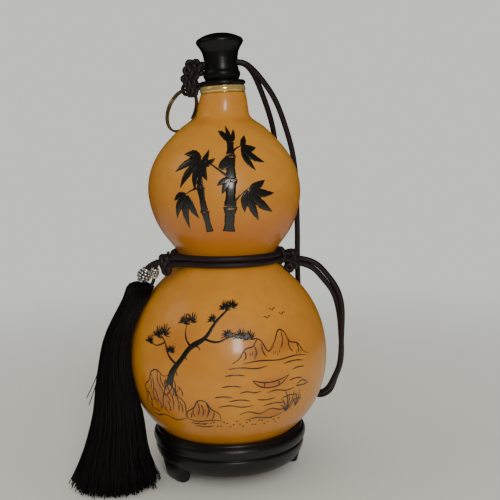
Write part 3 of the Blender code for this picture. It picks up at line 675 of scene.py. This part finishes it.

# Varnished gourd shell: amber, with painted shade that makes it a little darker and
# redder under the upper bulb and low on the belly. Clear varnish over it gives
# small sharp highlights on a softer glow.
gourd_mat = new_material("varnished_gourd_shell", {
    "Roughness": 0.42, "IOR": 1.5, "Specular IOR Level": 0.35, "Coat Weight": 0.45, "Coat Roughness": 0.14,
    "Coat IOR": 1.5,
})
place = add_node(gourd_mat, "TexCoord", {}).node.outputs["Object"]
cloud = add_node(gourd_mat, "TexNoise", {"Vector": place, "Scale": per_mm(34.0), "Detail": 3.0})
mottle = add_node(gourd_mat, "TexNoise", {"Vector": place, "Scale": per_mm(7.0), "Detail": 4.0,
                                          "Roughness": 0.6})
base = add_node(gourd_mat, "Mix", {0: cloud, "A": linear("A86716"), "B": linear("C58727")}, data_type="RGBA")
spread = add_node(gourd_mat, "MapRange", {"Value": mottle, "From Min": 0.35, "From Max": 0.7, "To Max": 0.35})
tone = add_node(gourd_mat, "Mix", {0: spread, "A": base, "B": linear("A5601B")}, data_type="RGBA")
# painted shade: this value makes the shell darker and redder under the upper bulb and low on the belly
underside_shade = add_node(gourd_mat, "Attribute", {}, attribute_name="underside_shade").node.outputs["Fac"]
tone = add_node(gourd_mat, "Mix", {0: underside_shade, "A": tone, "B": linear("A2500F")}, data_type="RGBA")
wash = add_node(gourd_mat, "Attribute", {}, attribute_name="wash").node.outputs["Fac"]
add_node(gourd_mat, "Mix", {0: wash, "A": tone, "B": linear("8A4212")}, "Base Color", data_type="RGBA")
dimple = add_node(gourd_mat, "TexNoise", {"Vector": place, "Scale": per_mm(9.0), "Detail": 1.0})
add_node(gourd_mat, "Bump", {"Height": dimple, "Strength": 0.3, "Distance": 0.5 * MM}, "Normal")

height = shell[:, :, 2]
# Painted shade, darker and redder bands under the upper bulb and low on the belly: height, half height and
# strength
UNDERSIDE_SHADE_BANDS = [(148.0, 13.0, 0.55), (30.0, 14.0, 0.15)]
underside_shade = sum(strength * np.exp(-((height - z) / half) ** 2) for z, half, strength in UNDERSIDE_SHADE_BANDS)
# Thin brown washes under the painting: middle, half sizes (mm round the front and up) and strength
WASHES = [
    (-39.0, 58.0, 12.0, 11.0, 0.625), (-14.0, 51.0, 9.0, 6.0, 0.5625), (18.0, 85.0, 7.0, 4.5, 0.5),
    (37.0, 87.0, 9.0, 5.5, 0.5), (-31.0, 88.0, 14.0, 9.0, 0.375), (10.0, 95.0, 8.0, 4.0, 0.375),
    (26.0, 66.6, 9.0, 3.0, 0.5625), (28.0, 48.0, 14.0, 3.0, 0.4375),
]
across = BELLY_R * (np.arctan2(shell[:, :, 1], shell[:, :, 0]) + math.pi / 2)
wash = sum(strength * np.exp(-((across - x) / half_x) ** 2 - ((height - z) / half_z) ** 2)
           for x, z, half_x, half_z, strength in WASHES)
gourd = skin("gourd_shell", [shell], gourd_mat, True, {"underside_shade": [underside_shade], "wash": [wash]})
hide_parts("gourd")


# Painting: brushed on the skin before the varnish. A spray of bamboo in wide black
# strokes fills the upper bulb, and a pine on rocks by a lake lies on the belly.
# A stroke's points are mm round the front and mm of height.
INK_T = 0.12                 # the dried ink stands this far off the skin
BULB_R = 45.4
STROKE_STEP = 0.7            # between two rows of points along a stroke


def on_skin(across, height, lift, reach):
    """Points of the skin at `across` mm round the front, counted at the radius `reach`, and at a height.

    They stand off it by `lift` along the outline's own normal.
    """
    at = [np.interp(height, outline[:, 1], column) for column in (outline[:, 0], *outward.T)]
    radius = at[0] + lift * at[1]
    angle = across / reach - math.pi / 2
    return grow(np.stack([radius * np.cos(angle), radius * np.sin(angle), height + lift * at[2]], axis=-1))


LEAF = (0.12, 0.75, 1.0, 0.9, 0.55, 0.08)          # how hard the brush is pressed along a stroke
STEM = (1.12, 0.9, 0.84, 0.88, 1.1)
LINE = (0.5, 1.0, 0.8, 1.0, 0.35)
TAPER = (1.0, 0.85, 0.7, 0.5, 0.3)
EDGE = np.array([0.0, 0.6, 1.0, 0.5, -0.5, -1.0, -0.6])          # half widths to the right of travel
RISE = np.array([1.0, 0.92, 0.0, -1.0, -1.0, 0.0, 0.92]) * INK_T


def stroke(points, width, press, reach):
    """Grid of a brush stroke: a thin lens carried along a smooth line, its width following `press`.

    Two sine waves, of which the stroke's length sets the start, make its edges waver by a twelfth.
    """
    length = distance_along(np.array(points))[-1]
    line = smooth_path(points, max(5, round(length / STROKE_STEP)))
    run = unit(np.gradient(line, axis=0))
    right = np.stack([run[:, 1], -run[:, 0]], axis=1)
    t = np.linspace(0.0, 1.0, len(line))
    wide = 0.5 * width * np.interp(t, np.linspace(0.0, 1.0, len(press)), press)
    wide *= 1.0 + 0.08 * np.sin(length + 23 * t) * np.sin(3 * length + 9 * t)
    spot = line[:, None] + wide[:, None, None] * EDGE[:, None] * right[:, None]
    return on_skin(spot[..., 0], spot[..., 1], RISE + 0 * spot[..., 0], reach)


def spray(start, directions, lengths, width, press, bend, reach):
    """Strokes that leave one point, each in its direction in degrees, and bend by a share of its length."""
    strokes = []
    for direction, length in zip(directions, lengths):
        way = np.array([math.cos(math.radians(direction)), math.sin(math.radians(direction))])
        side = np.array([way[1], -way[0]]) * bend * length
        points = [np.array(start) + 0.06 * length * way, np.array(start) + 0.5 * length * way + side,
                  np.array(start) + length * way]
        strokes.append(stroke(points, width * (0.8 + 0.2 * length / max(lengths)), press, reach))
    return strokes


# Black ink: soot in glue, rubbed thick, so it hides the skin. The varnish over
# it shines as it does beside it, and dry brushing leaves it a little uneven.
ink_mat = new_material("varnished_black_ink", {
    "Roughness": 0.4, "IOR": 1.5, "Coat Weight": 0.6, "Coat Roughness": 0.14, "Coat IOR": 1.5,
})
place = add_node(ink_mat, "TexCoord", {}).node.outputs["Object"]
brushing = add_node(ink_mat, "TexNoise", {"Vector": place, "Scale": per_mm(1.6), "Detail": 4.0})
add_node(ink_mat, "Mix", {0: brushing, "A": linear("0B0A09"), "B": linear("1E1A16")}, "Base Color",
         data_type="RGBA")
add_node(ink_mat, "Bump", {"Height": brushing, "Strength": 0.35, "Distance": 0.15 * MM}, "Normal")

# The culms' lengths between joints, the rings at the joints, the twigs and the leaves
bamboo = []
for points, width in (
        ([(3.0, 149.6), (3.5, 156.0), (4.1, 162.6)], 6.8), ([(4.2, 164.0), (4.7, 171.0), (5.2, 177.6)], 6.4),
        ([(5.3, 179.0), (5.7, 185.0), (6.1, 190.4)], 6.0), ([(6.2, 191.8), (6.6, 195.4), (7.0, 199.0)], 5.5),
        ([(-9.0, 149.6), (-9.6, 155.0), (-10.3, 160.6)], 4.4),
        ([(-10.5, 161.8), (-11.2, 168.0), (-11.8, 173.6)], 4.1),
        ([(-12.0, 174.8), (-12.5, 181.0), (-13.0, 186.6)], 3.7)):
    bamboo.append(stroke(points, width, STEM, BULB_R))
for x, z, half in ((4.15, 163.3, 3.9), (5.25, 178.3, 3.7), (6.15, 191.1, 3.3), (-10.4, 161.2, 2.6),
                   (-11.9, 174.2, 2.4)):
    bamboo.append(stroke([(x - half, z - 0.5), (x, z + 0.2), (x + half, z - 0.5)], 1.3, STEM, BULB_R))
for points in (
        [(5.2, 163.8), (9.0, 169.0), (14.6, 173.4)], [(5.6, 178.8), (-3.0, 185.0), (-11.0, 190.4)],
        [(-11.6, 174.4), (-16.0, 173.4), (-20.6, 171.0)], [(6.6, 191.4), (10.0, 195.0), (14.6, 196.6)]):
    bamboo.append(stroke(points, 1.5, TAPER, BULB_R))
for start, directions, lengths, width in (
        ((-11.6, 190.6), (172, 204, 232, 258, 286), (14, 19, 21, 18, 13), 4.8),
        ((14.2, 173.2), (22, -10, -40, -68, -98), (12, 17, 21, 19, 13), 5.0),
        ((-20.0, 171.2), (204, 236, 264, 292), (10, 17, 20, 15), 4.6),
        ((13.6, 196.4), (-4, -32, -62, 42), (12, 17, 15, 9), 4.4),
        ((7.0, 198.4), (58, 108, 146), (9, 10, 12), 4.0),
        ((-12.8, 186.0), (62, 24), (10, 10), 3.8),
        ((-2.0, 185.0), (48, 14), (9, 8), 3.4),
        ((5.6, 179.0), (204, 236), (9, 10), 3.6)):
    bamboo += spray(start, directions, lengths, width, LEAF, 0.07, BULB_R)
skin("painted_bamboo", bamboo, ink_mat)

# Brown ink: the same soot ink thinned with water and drawn with a hair brush, so the
# lines are fine, dark brown and uneven in tone under the varnish.
line_mat = new_material("varnished_brown_ink", {
    "Roughness": 0.4, "IOR": 1.5, "Coat Weight": 0.6, "Coat Roughness": 0.14, "Coat IOR": 1.5,
})
place = add_node(line_mat, "TexCoord", {}).node.outputs["Object"]
thinned = add_node(line_mat, "TexNoise", {"Vector": place, "Scale": per_mm(5.0), "Detail": 2.0})
add_node(line_mat, "Mix", {0: thinned, "A": linear("150C07"), "B": linear("3C210C")}, "Base Color",
         data_type="RGBA")
FINE = 0.85                  # widths of the brush lines and of the dots
HAIR = 0.55
DOT = 0.8
LANDSCAPE = [
    # the large rock: its outline, then its cracks
    [(-54, 46.5), (-55, 52), (-52.5, 57), (-53.5, 62), (-49, 66), (-47, 71), (-41.5, 73), (-37, 70.5),
     (-33, 72)], [(-33, 72), (-29, 67), (-28.5, 61), (-24.5, 57), (-24, 51), (-25, 46.5)],
    [(-54, 46.5), (-48, 44.8), (-41, 46.4), (-34, 44.6), (-25, 46.5)],
    [(-47, 70.5), (-45, 64), (-46.5, 58), (-44, 52)],
    [(-41.5, 72.6), (-41, 66), (-38, 61), (-39.5, 54), (-37, 48)],
    [(-33.4, 71), (-34, 64), (-31.5, 58), (-32.5, 51)], [(-51.5, 61), (-49.5, 55), (-50.5, 50)],
    [(-38, 60.5), (-35, 59), (-33.4, 55.5)], [(-45.6, 62.5), (-43.4, 59.5), (-43.6, 56.5)],
    [(-29, 61), (-28, 55), (-29, 50)], [(-48.6, 49.5), (-46, 48), (-43.6, 48.6)],
    # the small rock
    [(-24, 46.5), (-22.5, 51.5), (-18.5, 54), (-16, 58), (-11, 57.5), (-8.5, 53.5), (-4.5, 51), (-3, 46)],
    [(-24, 46.5), (-17, 45), (-10, 46.2), (-3, 46)], [(-16, 57.6), (-15.4, 53), (-17, 49)],
    [(-11, 57), (-9.8, 52), (-11.6, 48)], [(-19, 53), (-19.6, 50), (-18.6, 48)],
    # far hills across the lake
    [(4, 79.5), (8, 82), (12, 87), (16, 88), (19, 91.5), (22, 89), (25, 84.5), (29, 87)],
    [(25, 84.6), (30, 90), (34, 95), (37, 93.6), (40, 88), (45, 86.5), (50, 81), (54, 79)],
    [(17, 88), (17.6, 84), (16.4, 81)], [(21, 89), (21.6, 85), (23.4, 82)], [(35, 94), (35, 89), (33, 85)],
    [(39, 88.6), (39.4, 84.6), (41.6, 82)], [(10, 79), (20, 80), (31, 79.2), (42, 79.8), (52, 78.4)],
    [(45, 86), (46, 83), (45.4, 81)], [(11, 85.4), (11.6, 82.6), (10.6, 81)],
    # an empty boat
    [(15, 69.4), (19, 65.8), (25, 64.4), (31, 65), (37.5, 69.8)],
    [(15, 69.4), (20, 68), (27, 67.4), (37.5, 69.8)], [(21.4, 68), (22, 66), (21.6, 65)],
    [(30.4, 67.8), (31, 66.4), (30.6, 65.2)],
    # ripples and the near bank
    [(8, 62.6), (12, 63.4), (16, 62.4), (20, 63)], [(24, 61.6), (30, 62.2), (36, 61), (42, 61.8)],
    [(38, 66.4), (43, 67), (48, 66)], [(2, 58), (8, 58.8), (14, 57.6)], [(18, 58.2), (24, 57.4), (29, 58)],
    [(34, 56.8), (40, 57.6), (46, 56.4)], [(-2, 66.4), (4, 67), (9, 66.2)],
    [(40, 72.4), (45, 73), (50, 72.2)], [(0, 72.6), (6, 73.2), (11, 72.4)],
    [(8, 49.6), (14, 51), (20, 49.2), (27, 51.4), (34, 49.6), (41, 51.6)],
    [(12, 45.8), (19, 46.8), (27, 45.6), (35, 47)], [(-20, 42.2), (-14, 41.6), (-8, 42.4)],
    # hatching on the rocks, roots and bark
    [(-52, 59), (-50, 57.4), (-48.6, 54)], [(-48, 68.6), (-47, 65), (-48.4, 61)],
    [(-39.4, 71), (-38.6, 66.6), (-36, 63.6)], [(-35.4, 69), (-36, 65.4), (-35, 62.4)],
    [(-43, 56), (-41.6, 52.6), (-42.4, 49)], [(-35.6, 56), (-34.6, 52.6), (-35.4, 49.4)],
    [(-27, 57), (-26, 53.4), (-26.6, 49.6)], [(-50.6, 47.8), (-51, 50.6), (-52.8, 53)],
    [(-31, 66), (-30.4, 62), (-31.6, 59.4)], [(-21, 50.6), (-20.8, 48.8), (-21.8, 47)],
    [(-14, 56), (-13, 52.4), (-14, 48.8)], [(-7, 51.6), (-7.2, 49), (-8.4, 47.2)],
    [(-24.4, 83.4), (-22.8, 82.6), (-22, 80.6)], [(-30.2, 75), (-28.4, 74), (-27.6, 71.4)],
    [(-17, 88.4), (-15.4, 88), (-14.4, 86.4)], [(-36, 59.4), (-33, 62), (-31, 66)],
    [(-27.4, 66), (-25, 63), (-24.6, 60.4)], [(-22, 44), (-16, 43.4), (-11, 44.2)],
    # mist between the hills and the lake, and a low island
    [(2, 76.4), (9, 77), (17, 76), (24, 76.8)], [(34, 76.6), (41, 77.2), (49, 76)],
    [(-6, 60.4), (-1, 61), (4, 60.2)], [(-4, 54.6), (2, 55.6), (9, 54.4), (16, 55)],
    [(44, 62.8), (47, 64.6), (50.4, 64), (53, 62.2)], [(43, 62.4), (48, 61.8), (54, 62)],
    [(22, 53.8), (29, 54.6), (36, 53.6)], [(42, 53.4), (46, 54.2), (50, 53)],
]
rng = np.random.default_rng(5)
lines = [stroke(np.array(points, float), FINE, LINE, BELLY_R) for points in LANDSCAPE]
# Dots along the near bank, short hatches on the rocks and hills, and three birds far off
for number, x in enumerate(np.linspace(-18.0, 34.0, 27)):
    z = 43.4 + 1.8 * math.sin(1.7 * number)
    lines.append(stroke([(x, z), (x + 0.5, z + 0.2), (x + 1.1, z)], DOT, STEM, BELLY_R))
for x, z in ((-47, 54.6), (-42, 50.4), (-36.6, 66), (-30.6, 63), (-13.4, 51), (28, 82.6), (44, 80.6),
             (14, 83)):
    for step in range(4):
        spot = np.array([x + 1.3 * step, z + 0.7 * math.sin(2.4 * step)])
        lines.append(stroke([spot, spot + (0.3, 0.9), spot + (0.2, 1.9)], HAIR, TAPER, BELLY_R))
for x, z in ((33.0, 105.0), (39.4, 102.2), (27.6, 101.4)):
    lines.append(stroke([(x - 2.6, z + 1.0), (x - 1.3, z + 1.1), (x, z)], HAIR, LINE, BELLY_R))
    lines.append(stroke([(x, z), (x + 1.4, z + 1.3), (x + 2.9, z + 0.9)], HAIR, LINE, BELLY_R))
skin("painted_lake_view", lines, line_mat)

# The pine in full black: its leaning trunk, twigs and tufts of needles, and reeds
pine = [
    stroke([(-33.0, 66.0), (-30.4, 74.0), (-25.0, 81.5), (-20.0, 88.0), (-12.5, 92.6), (-7.0, 100.0),
            (1.0, 107.0)], 3.4, (1.5, 1.0, 0.85, 0.95, 0.65, 0.5, 0.3), BELLY_R),
    stroke([(-28.0, 78.0), (-34.0, 82.5), (-38.0, 89.0), (-42.5, 92.4)], 1.5, TAPER, BELLY_R),
    stroke([(-20.0, 88.0), (-24.0, 92.6), (-25.0, 99.6)], 1.3, TAPER, BELLY_R),
    stroke([(-12.5, 92.6), (-4.0, 91.0), (3.0, 93.4), (10.6, 92.0)], 1.4, TAPER, BELLY_R),
    stroke([(-38.0, 89.0), (-44.0, 86.6), (-49.4, 87.4)], 1.0, TAPER, BELLY_R),
    stroke([(-33.6, 66.6), (-36.4, 63.0), (-37.0, 58.6)], 1.2, TAPER, BELLY_R),
    stroke([(-32.6, 66.6), (-29.8, 63.4), (-29.4, 59.4)], 1.2, TAPER, BELLY_R),
]
for x, z, size in (
        (-45.4, 91.6, 5.6), (-40.6, 93.2, 5.8), (-51.0, 87.4, 4.6), (-27.6, 100.0, 5.2), (-22.6, 101.0, 5.0),
        (8.6, 92.6, 5.4), (13.8, 92.0, 5.0), (-0.6, 107.4, 4.8), (4.2, 108.4, 4.8), (1.4, 93.8, 4.2),
        (-33.0, 84.4, 4.0), (-8.4, 101.6, 3.8)):
    directions = np.linspace(-6.0, 186.0, 17) + rng.normal(0.0, 4.0, 17)
    pine += spray((x, z), directions, size * (0.75 + 0.3 * rng.random(17)), 1.0, TAPER, 0.06, BELLY_R)
pine += spray((38.0, 47.0), (58, 74, 88, 101, 117, 132), (11, 14, 12, 15, 11, 8), 1.0, LEAF, 0.1, BELLY_R)
pine += spray((45.0, 49.0), (66, 84, 100, 118), (8, 11, 10, 7), 0.9, LEAF, 0.1, BELLY_R)
skin("painted_pine", pine, ink_mat)


# Brass collar: a turned and polished band pressed over the cut top of the neck,
# slightly crowned, with a fine bead at each edge.
COLLAR = [
    (12.4, 227.6), (12.8, 227.6), (13.1, 227.7), (13.15, 227.95), (13.0, 228.15), (13.3, 228.4),
    (13.5, 228.9), (13.58, 229.5), (13.5, 230.1), (13.3, 230.6), (13.0, 230.85), (13.15, 231.05),
    (13.1, 231.3), (12.8, 231.4), (12.4, 231.4),
]
TURNED_SIDES = 128
SHARP = math.radians(38)     # edges that bend more than this stay crisp


def turned_piece(name, node, profile, mat, closed=True):
    """A turned part on the gourd's axis: a closed profile, or one that runs from pole to pole."""
    piece = skin(name, [grow(turned(profile, TURNED_SIDES))], mat, closed)
    piece.data.set_sharp_from_angle(angle=SHARP)
    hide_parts(node)
    return piece


def rounded(profile, radius, closed=True):
    """A profile with each corner turned into three points of a curve that cuts it off at `radius`."""
    profile = np.asarray(profile, float)
    back = np.roll(profile, 1, 0) - profile
    ahead = np.roll(profile, -1, 0) - profile
    near = [np.minimum(radius / np.linalg.norm(leg, axis=1), 0.45)[:, None] * leg for leg in (back, ahead)]
    soft = np.stack([profile + near[0], profile + 0.28 * (near[0] + near[1]), profile + near[1]], axis=1)
    if closed:
        return soft.reshape(-1, 2)
    return np.vstack([profile[:1], soft[1:-1].reshape(-1, 2), profile[-1:]])


# Polished brass: yellow metal, bright, with patches of tarnish.
brass_mat = new_material("polished_turned_brass", {
    "Metallic": 0.72, "Roughness": 0.18, "Base Color": linear("E2B95C"),
})
place = add_node(brass_mat, "TexCoord", {}).node.outputs["Object"]
tarnish = add_node(brass_mat, "TexNoise", {"Vector": place, "Scale": per_mm(3.0), "Detail": 3.0})
add_node(brass_mat, "Mix", {0: tarnish, "A": linear("DDAE52"), "B": linear("FBE39C")}, "Base Color",
         data_type="RGBA")
add_node(brass_mat, "MapRange", {"Value": tarnish, "To Min": 0.1, "To Max": 0.25}, "Roughness")
turned_piece("collar_band", "brass_collar", rounded(COLLAR, 0.12), brass_mat)


# Mouth bush and stopper: turned from close-grained wood and lacquered black.
# The bush lines the cut mouth; the stopper has a plug, a low bead, a slot for
# the doubled cord and a flared, domed head.
BUSH = [(9.0, 231.7), (12.7, 231.7), (13.7, 232.5), (13.7, 233.7), (12.8, 234.6), (7.5, 234.6), (7.5, 222.5),
        (9.0, 222.5)]
STOPPER = [
    (0.0, 223.5), (5.8, 223.5), (6.6, 224.3), (7.2, 234.9), (9.9, 234.9), (10.2, 235.9), (10.9, 237.2),
    (11.1, 238.6), (10.7, 239.9), (10.15, 240.8), (10.2, 241.6), (10.0, 243.9), (10.1, 247.9), (10.7, 251.1),
    (11.9, 253.5), (13.2, 255.4), (13.9, 256.7), (13.9, 257.7), (13.2, 258.8), (12.5, 259.2), (12.2, 259.35),
    (10.4, 260.3), (8.0, 261.2), (5.2, 261.9), (2.4, 262.25), (0.0, 262.3),
]
SLOT_Z = 244.6
SLOT_HALF = (4.2, 2.2)       # its half width and half height
black_mat = new_material("black_lacquered_wood", {
    "Base Color": linear("0C0C0D"), "Roughness": 0.36, "IOR": 1.5, "Specular IOR Level": 0.3,
})
place = add_node(black_mat, "TexCoord", {}).node.outputs["Object"]
squeezed = add_node(black_mat, "Mapping", {"Vector": place, "Scale": (1.0, 1.0, 5.0)})
grain = add_node(black_mat, "TexNoise", {"Vector": squeezed, "Scale": per_mm(2.2), "Detail": 4.0})
add_node(black_mat, "Mix", {0: grain, "A": linear("090909"), "B": linear("121213")}, "Base Color",
         data_type="RGBA")
add_node(black_mat, "MapRange", {"Value": grain, "To Min": 0.26, "To Max": 0.46}, "Roughness")
add_node(black_mat, "Bump", {"Height": grain, "Strength": 0.2, "Distance": 0.05 * MM}, "Normal")
turned_piece("black_mouth_bush", "mouth_bush", rounded(BUSH, 0.3), black_mat)
stopper = turned_piece("black_stopper", "stopper",
                       rounded(STOPPER, 0.35, closed=False)[1:-1], black_mat, closed=False)


def cut(piece, tool, operation):
    """Applies a Boolean with the tool, which is then removed."""
    step = piece.modifiers.new(tool.name, "BOOLEAN")
    step.operation = operation
    step.object = tool
    whole = bpy.data.meshes.new_from_object(piece.evaluated_get(bpy.context.evaluated_depsgraph_get()))
    piece.modifiers.clear()
    piece.data = whole
    bpy.data.objects.remove(tool)
    whole.set_sharp_from_angle(angle=SHARP)


# A square section with round corners: cosine and sine raised to a small power
CORNER = 0.35
SLOT_REACH = 20.0
angle = TURN * (np.arange(32) + 0.5) / 32
square = [np.sign(wave) * np.abs(wave) ** CORNER for wave in (np.cos(angle), np.sin(angle))]
slot_ends = [np.stack([np.full(32, x), square[0] * SLOT_HALF[0], SLOT_Z + square[1] * SLOT_HALF[1]], axis=1)
             for x in (-SLOT_REACH, SLOT_REACH)]
cut(stopper, skin("cord_slot", [grow(np.stack(slot_ends))], black_mat), "DIFFERENCE")


# Stand: a turned ring on three short feet, one piece of hardwood with a black
# satin lacquer. Its seat follows the gourd; a groove parts the upper bead.
STAND = [
    (31.6, 6.8), (32.2, 6.2), (37.4, 6.2), (39.4, 6.8), (41.0, 7.7), (42.4, 9.0), (43.7, 10.8), (44.7, 12.8),
    (45.4, 15.0), (45.7, 16.6), (45.4, 17.7), (44.7, 18.15), (44.7, 18.5), (45.7, 19.0), (46.4, 20.2),
    (46.8, 21.8), (46.8, 23.2), (46.4, 24.6), (45.6, 25.7), (44.7, 26.2), (44.5, 26.5), (44.2, 27.2),
    (43.5, 27.6), (42.6, 27.6),
]
FOOT_AZIMUTHS = (216.0, 12.0, 114.0)
# Height, inner and outer radius, half of its sweep in degrees
FOOT = [(0.0, 35.6, 40.6, 12.0), (0.4, 35.2, 41.5, 12.4), (1.2, 34.8, 42.0, 12.6), (3.0, 34.3, 42.5, 13.0),
        (5.0, 34.2, 43.0, 13.4), (7.0, 34.2, 43.4, 13.9), (9.5, 34.2, 43.9, 14.5), (12.0, 34.2, 44.1, 15.0)]
SEAT_GAP = 0.5               # between the gourd's skin and the seat
seat_r = np.linspace(41.5, 31.6, 9)
lifted = outline + SEAT_GAP * outward
seat = np.stack([seat_r, np.interp(seat_r, lifted[:180, 0], lifted[:180, 1])], axis=1)
stand_mat = new_material("black_satin_lacquer", {
    "Base Color": linear("0B0B0C"), "Roughness": 0.36, "IOR": 1.5, "Specular IOR Level": 0.4,
})
place = add_node(stand_mat, "TexCoord", {}).node.outputs["Object"]
grain = add_node(stand_mat, "TexNoise", {"Vector": place, "Scale": per_mm(3.0), "Detail": 5.0})
add_node(stand_mat, "Mix", {0: grain, "A": linear("080808"), "B": linear("121213")}, "Base Color",
         data_type="RGBA")
add_node(stand_mat, "MapRange", {"Value": grain, "To Min": 0.26, "To Max": 0.5}, "Roughness")
add_node(stand_mat, "Bump", {"Height": grain, "Strength": 0.25, "Distance": 0.08 * MM}, "Normal")
stand = skin("black_stand", [turned(rounded(np.vstack([STAND, seat[:-1]]), 0.3), 192)], stand_mat, True)
for azimuth in FOOT_AZIMUTHS:
    height, inner, outer, half = np.array(FOOT).T[:, :, None]
    sweep = np.radians(azimuth + half * square[1])
    radius = (inner + outer) / 2 + (outer - inner) / 2 * square[0]
    rings = np.stack([radius * np.cos(sweep), radius * np.sin(sweep), height + 0 * sweep], axis=2)
    cut(stand, skin("foot", [rings], stand_mat), "UNION")
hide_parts("stand")


# Stage: a pale floor that fades into an even pale backdrop, and soft light from
# the front. The room's own light is dim, so dark lacquer stays dark.
FLOOR_R = 1.2
FADE = (0.16, 0.75)          # the floor fades out between these distances in metres
LIT_HEIGHT = 0.13            # the lights face the gourd's middle, this far up
floor_mat = new_material("pale_floor", {
    "Base Color": linear("CFCDC7"), "Roughness": 0.9, "Specular IOR Level": 0.2,
})
place = add_node(floor_mat, "TexCoord", {}).node.outputs["Object"]
distance = add_node(floor_mat, "VectorMath", {0: place}, operation="LENGTH").node.outputs["Value"]
add_node(floor_mat, "MapRange", {"Value": distance, "From Min": FADE[0], "From Max": FADE[1], "To Min": 1.0,
                                 "To Max": 0.0}, "Alpha", interpolation_type="SMOOTHSTEP")
floor_mesh = bpy.data.meshes.new("floor")
corners = [(x * FLOOR_R, y * FLOOR_R, 0.0) for x, y in ((-1, -1), (1, -1), (1, 1), (-1, 1))]
floor_mesh.from_pydata(corners, [], [(0, 1, 2, 3)])
floor_mesh.materials.append(floor_mat)
floor = bpy.data.objects.new("floor", floor_mesh)
bpy.context.scene.collection.objects.link(floor)

world = bpy.data.worlds.new("soft_room")
world.use_nodes = True
world.node_tree.nodes["Background"].inputs["Color"].default_value = linear("C6C7C1")
world.node_tree.nodes["Background"].inputs["Strength"].default_value = 1.38
bpy.context.scene.world = world
world.cycles_visibility.glossy = False


def area_light(name, towards, distance, size, power, colour, shines=True):
    """A soft rectangular light at a distance from the gourd's middle, facing it, seen in gloss or not."""
    lamp = bpy.data.lights.new(name, "AREA")
    lamp.shape = "RECTANGLE"
    lamp.size, lamp.size_y = size
    lamp.energy = power
    lamp.color = linear(colour)[:3]
    light = bpy.data.objects.new(name, lamp)
    light.visible_glossy = shines
    towards = unit(towards)
    side = unit(np.cross((0.0, 0.0, 1.0), towards))
    turn = Matrix(np.stack([side, np.cross(towards, side), towards], axis=1).tolist())
    place = Matrix.Translation(np.array((0.0, 0.0, LIT_HEIGHT)) + distance * towards)
    light.matrix_world = place @ turn.to_4x4()
    bpy.context.scene.collection.objects.link(light)


area_light("window", (0.20, -0.92, 0.31), 1.3, (0.21, 0.38), 6.0, "FFFBF4")
area_light("low_window", (0.11, -0.99, 0.03), 1.3, (0.42, 0.2), 0.12, "FFF6E4")
area_light("left_window", (-0.78, -0.1, 0.62), 1.6, (0.6, 0.6), 1.4, "FFF1DC")
area_light("front_fill", (0.1, -0.9, 0.45), 1.5, (1.4, 1.0), 5.0, "FFFFFF", False)
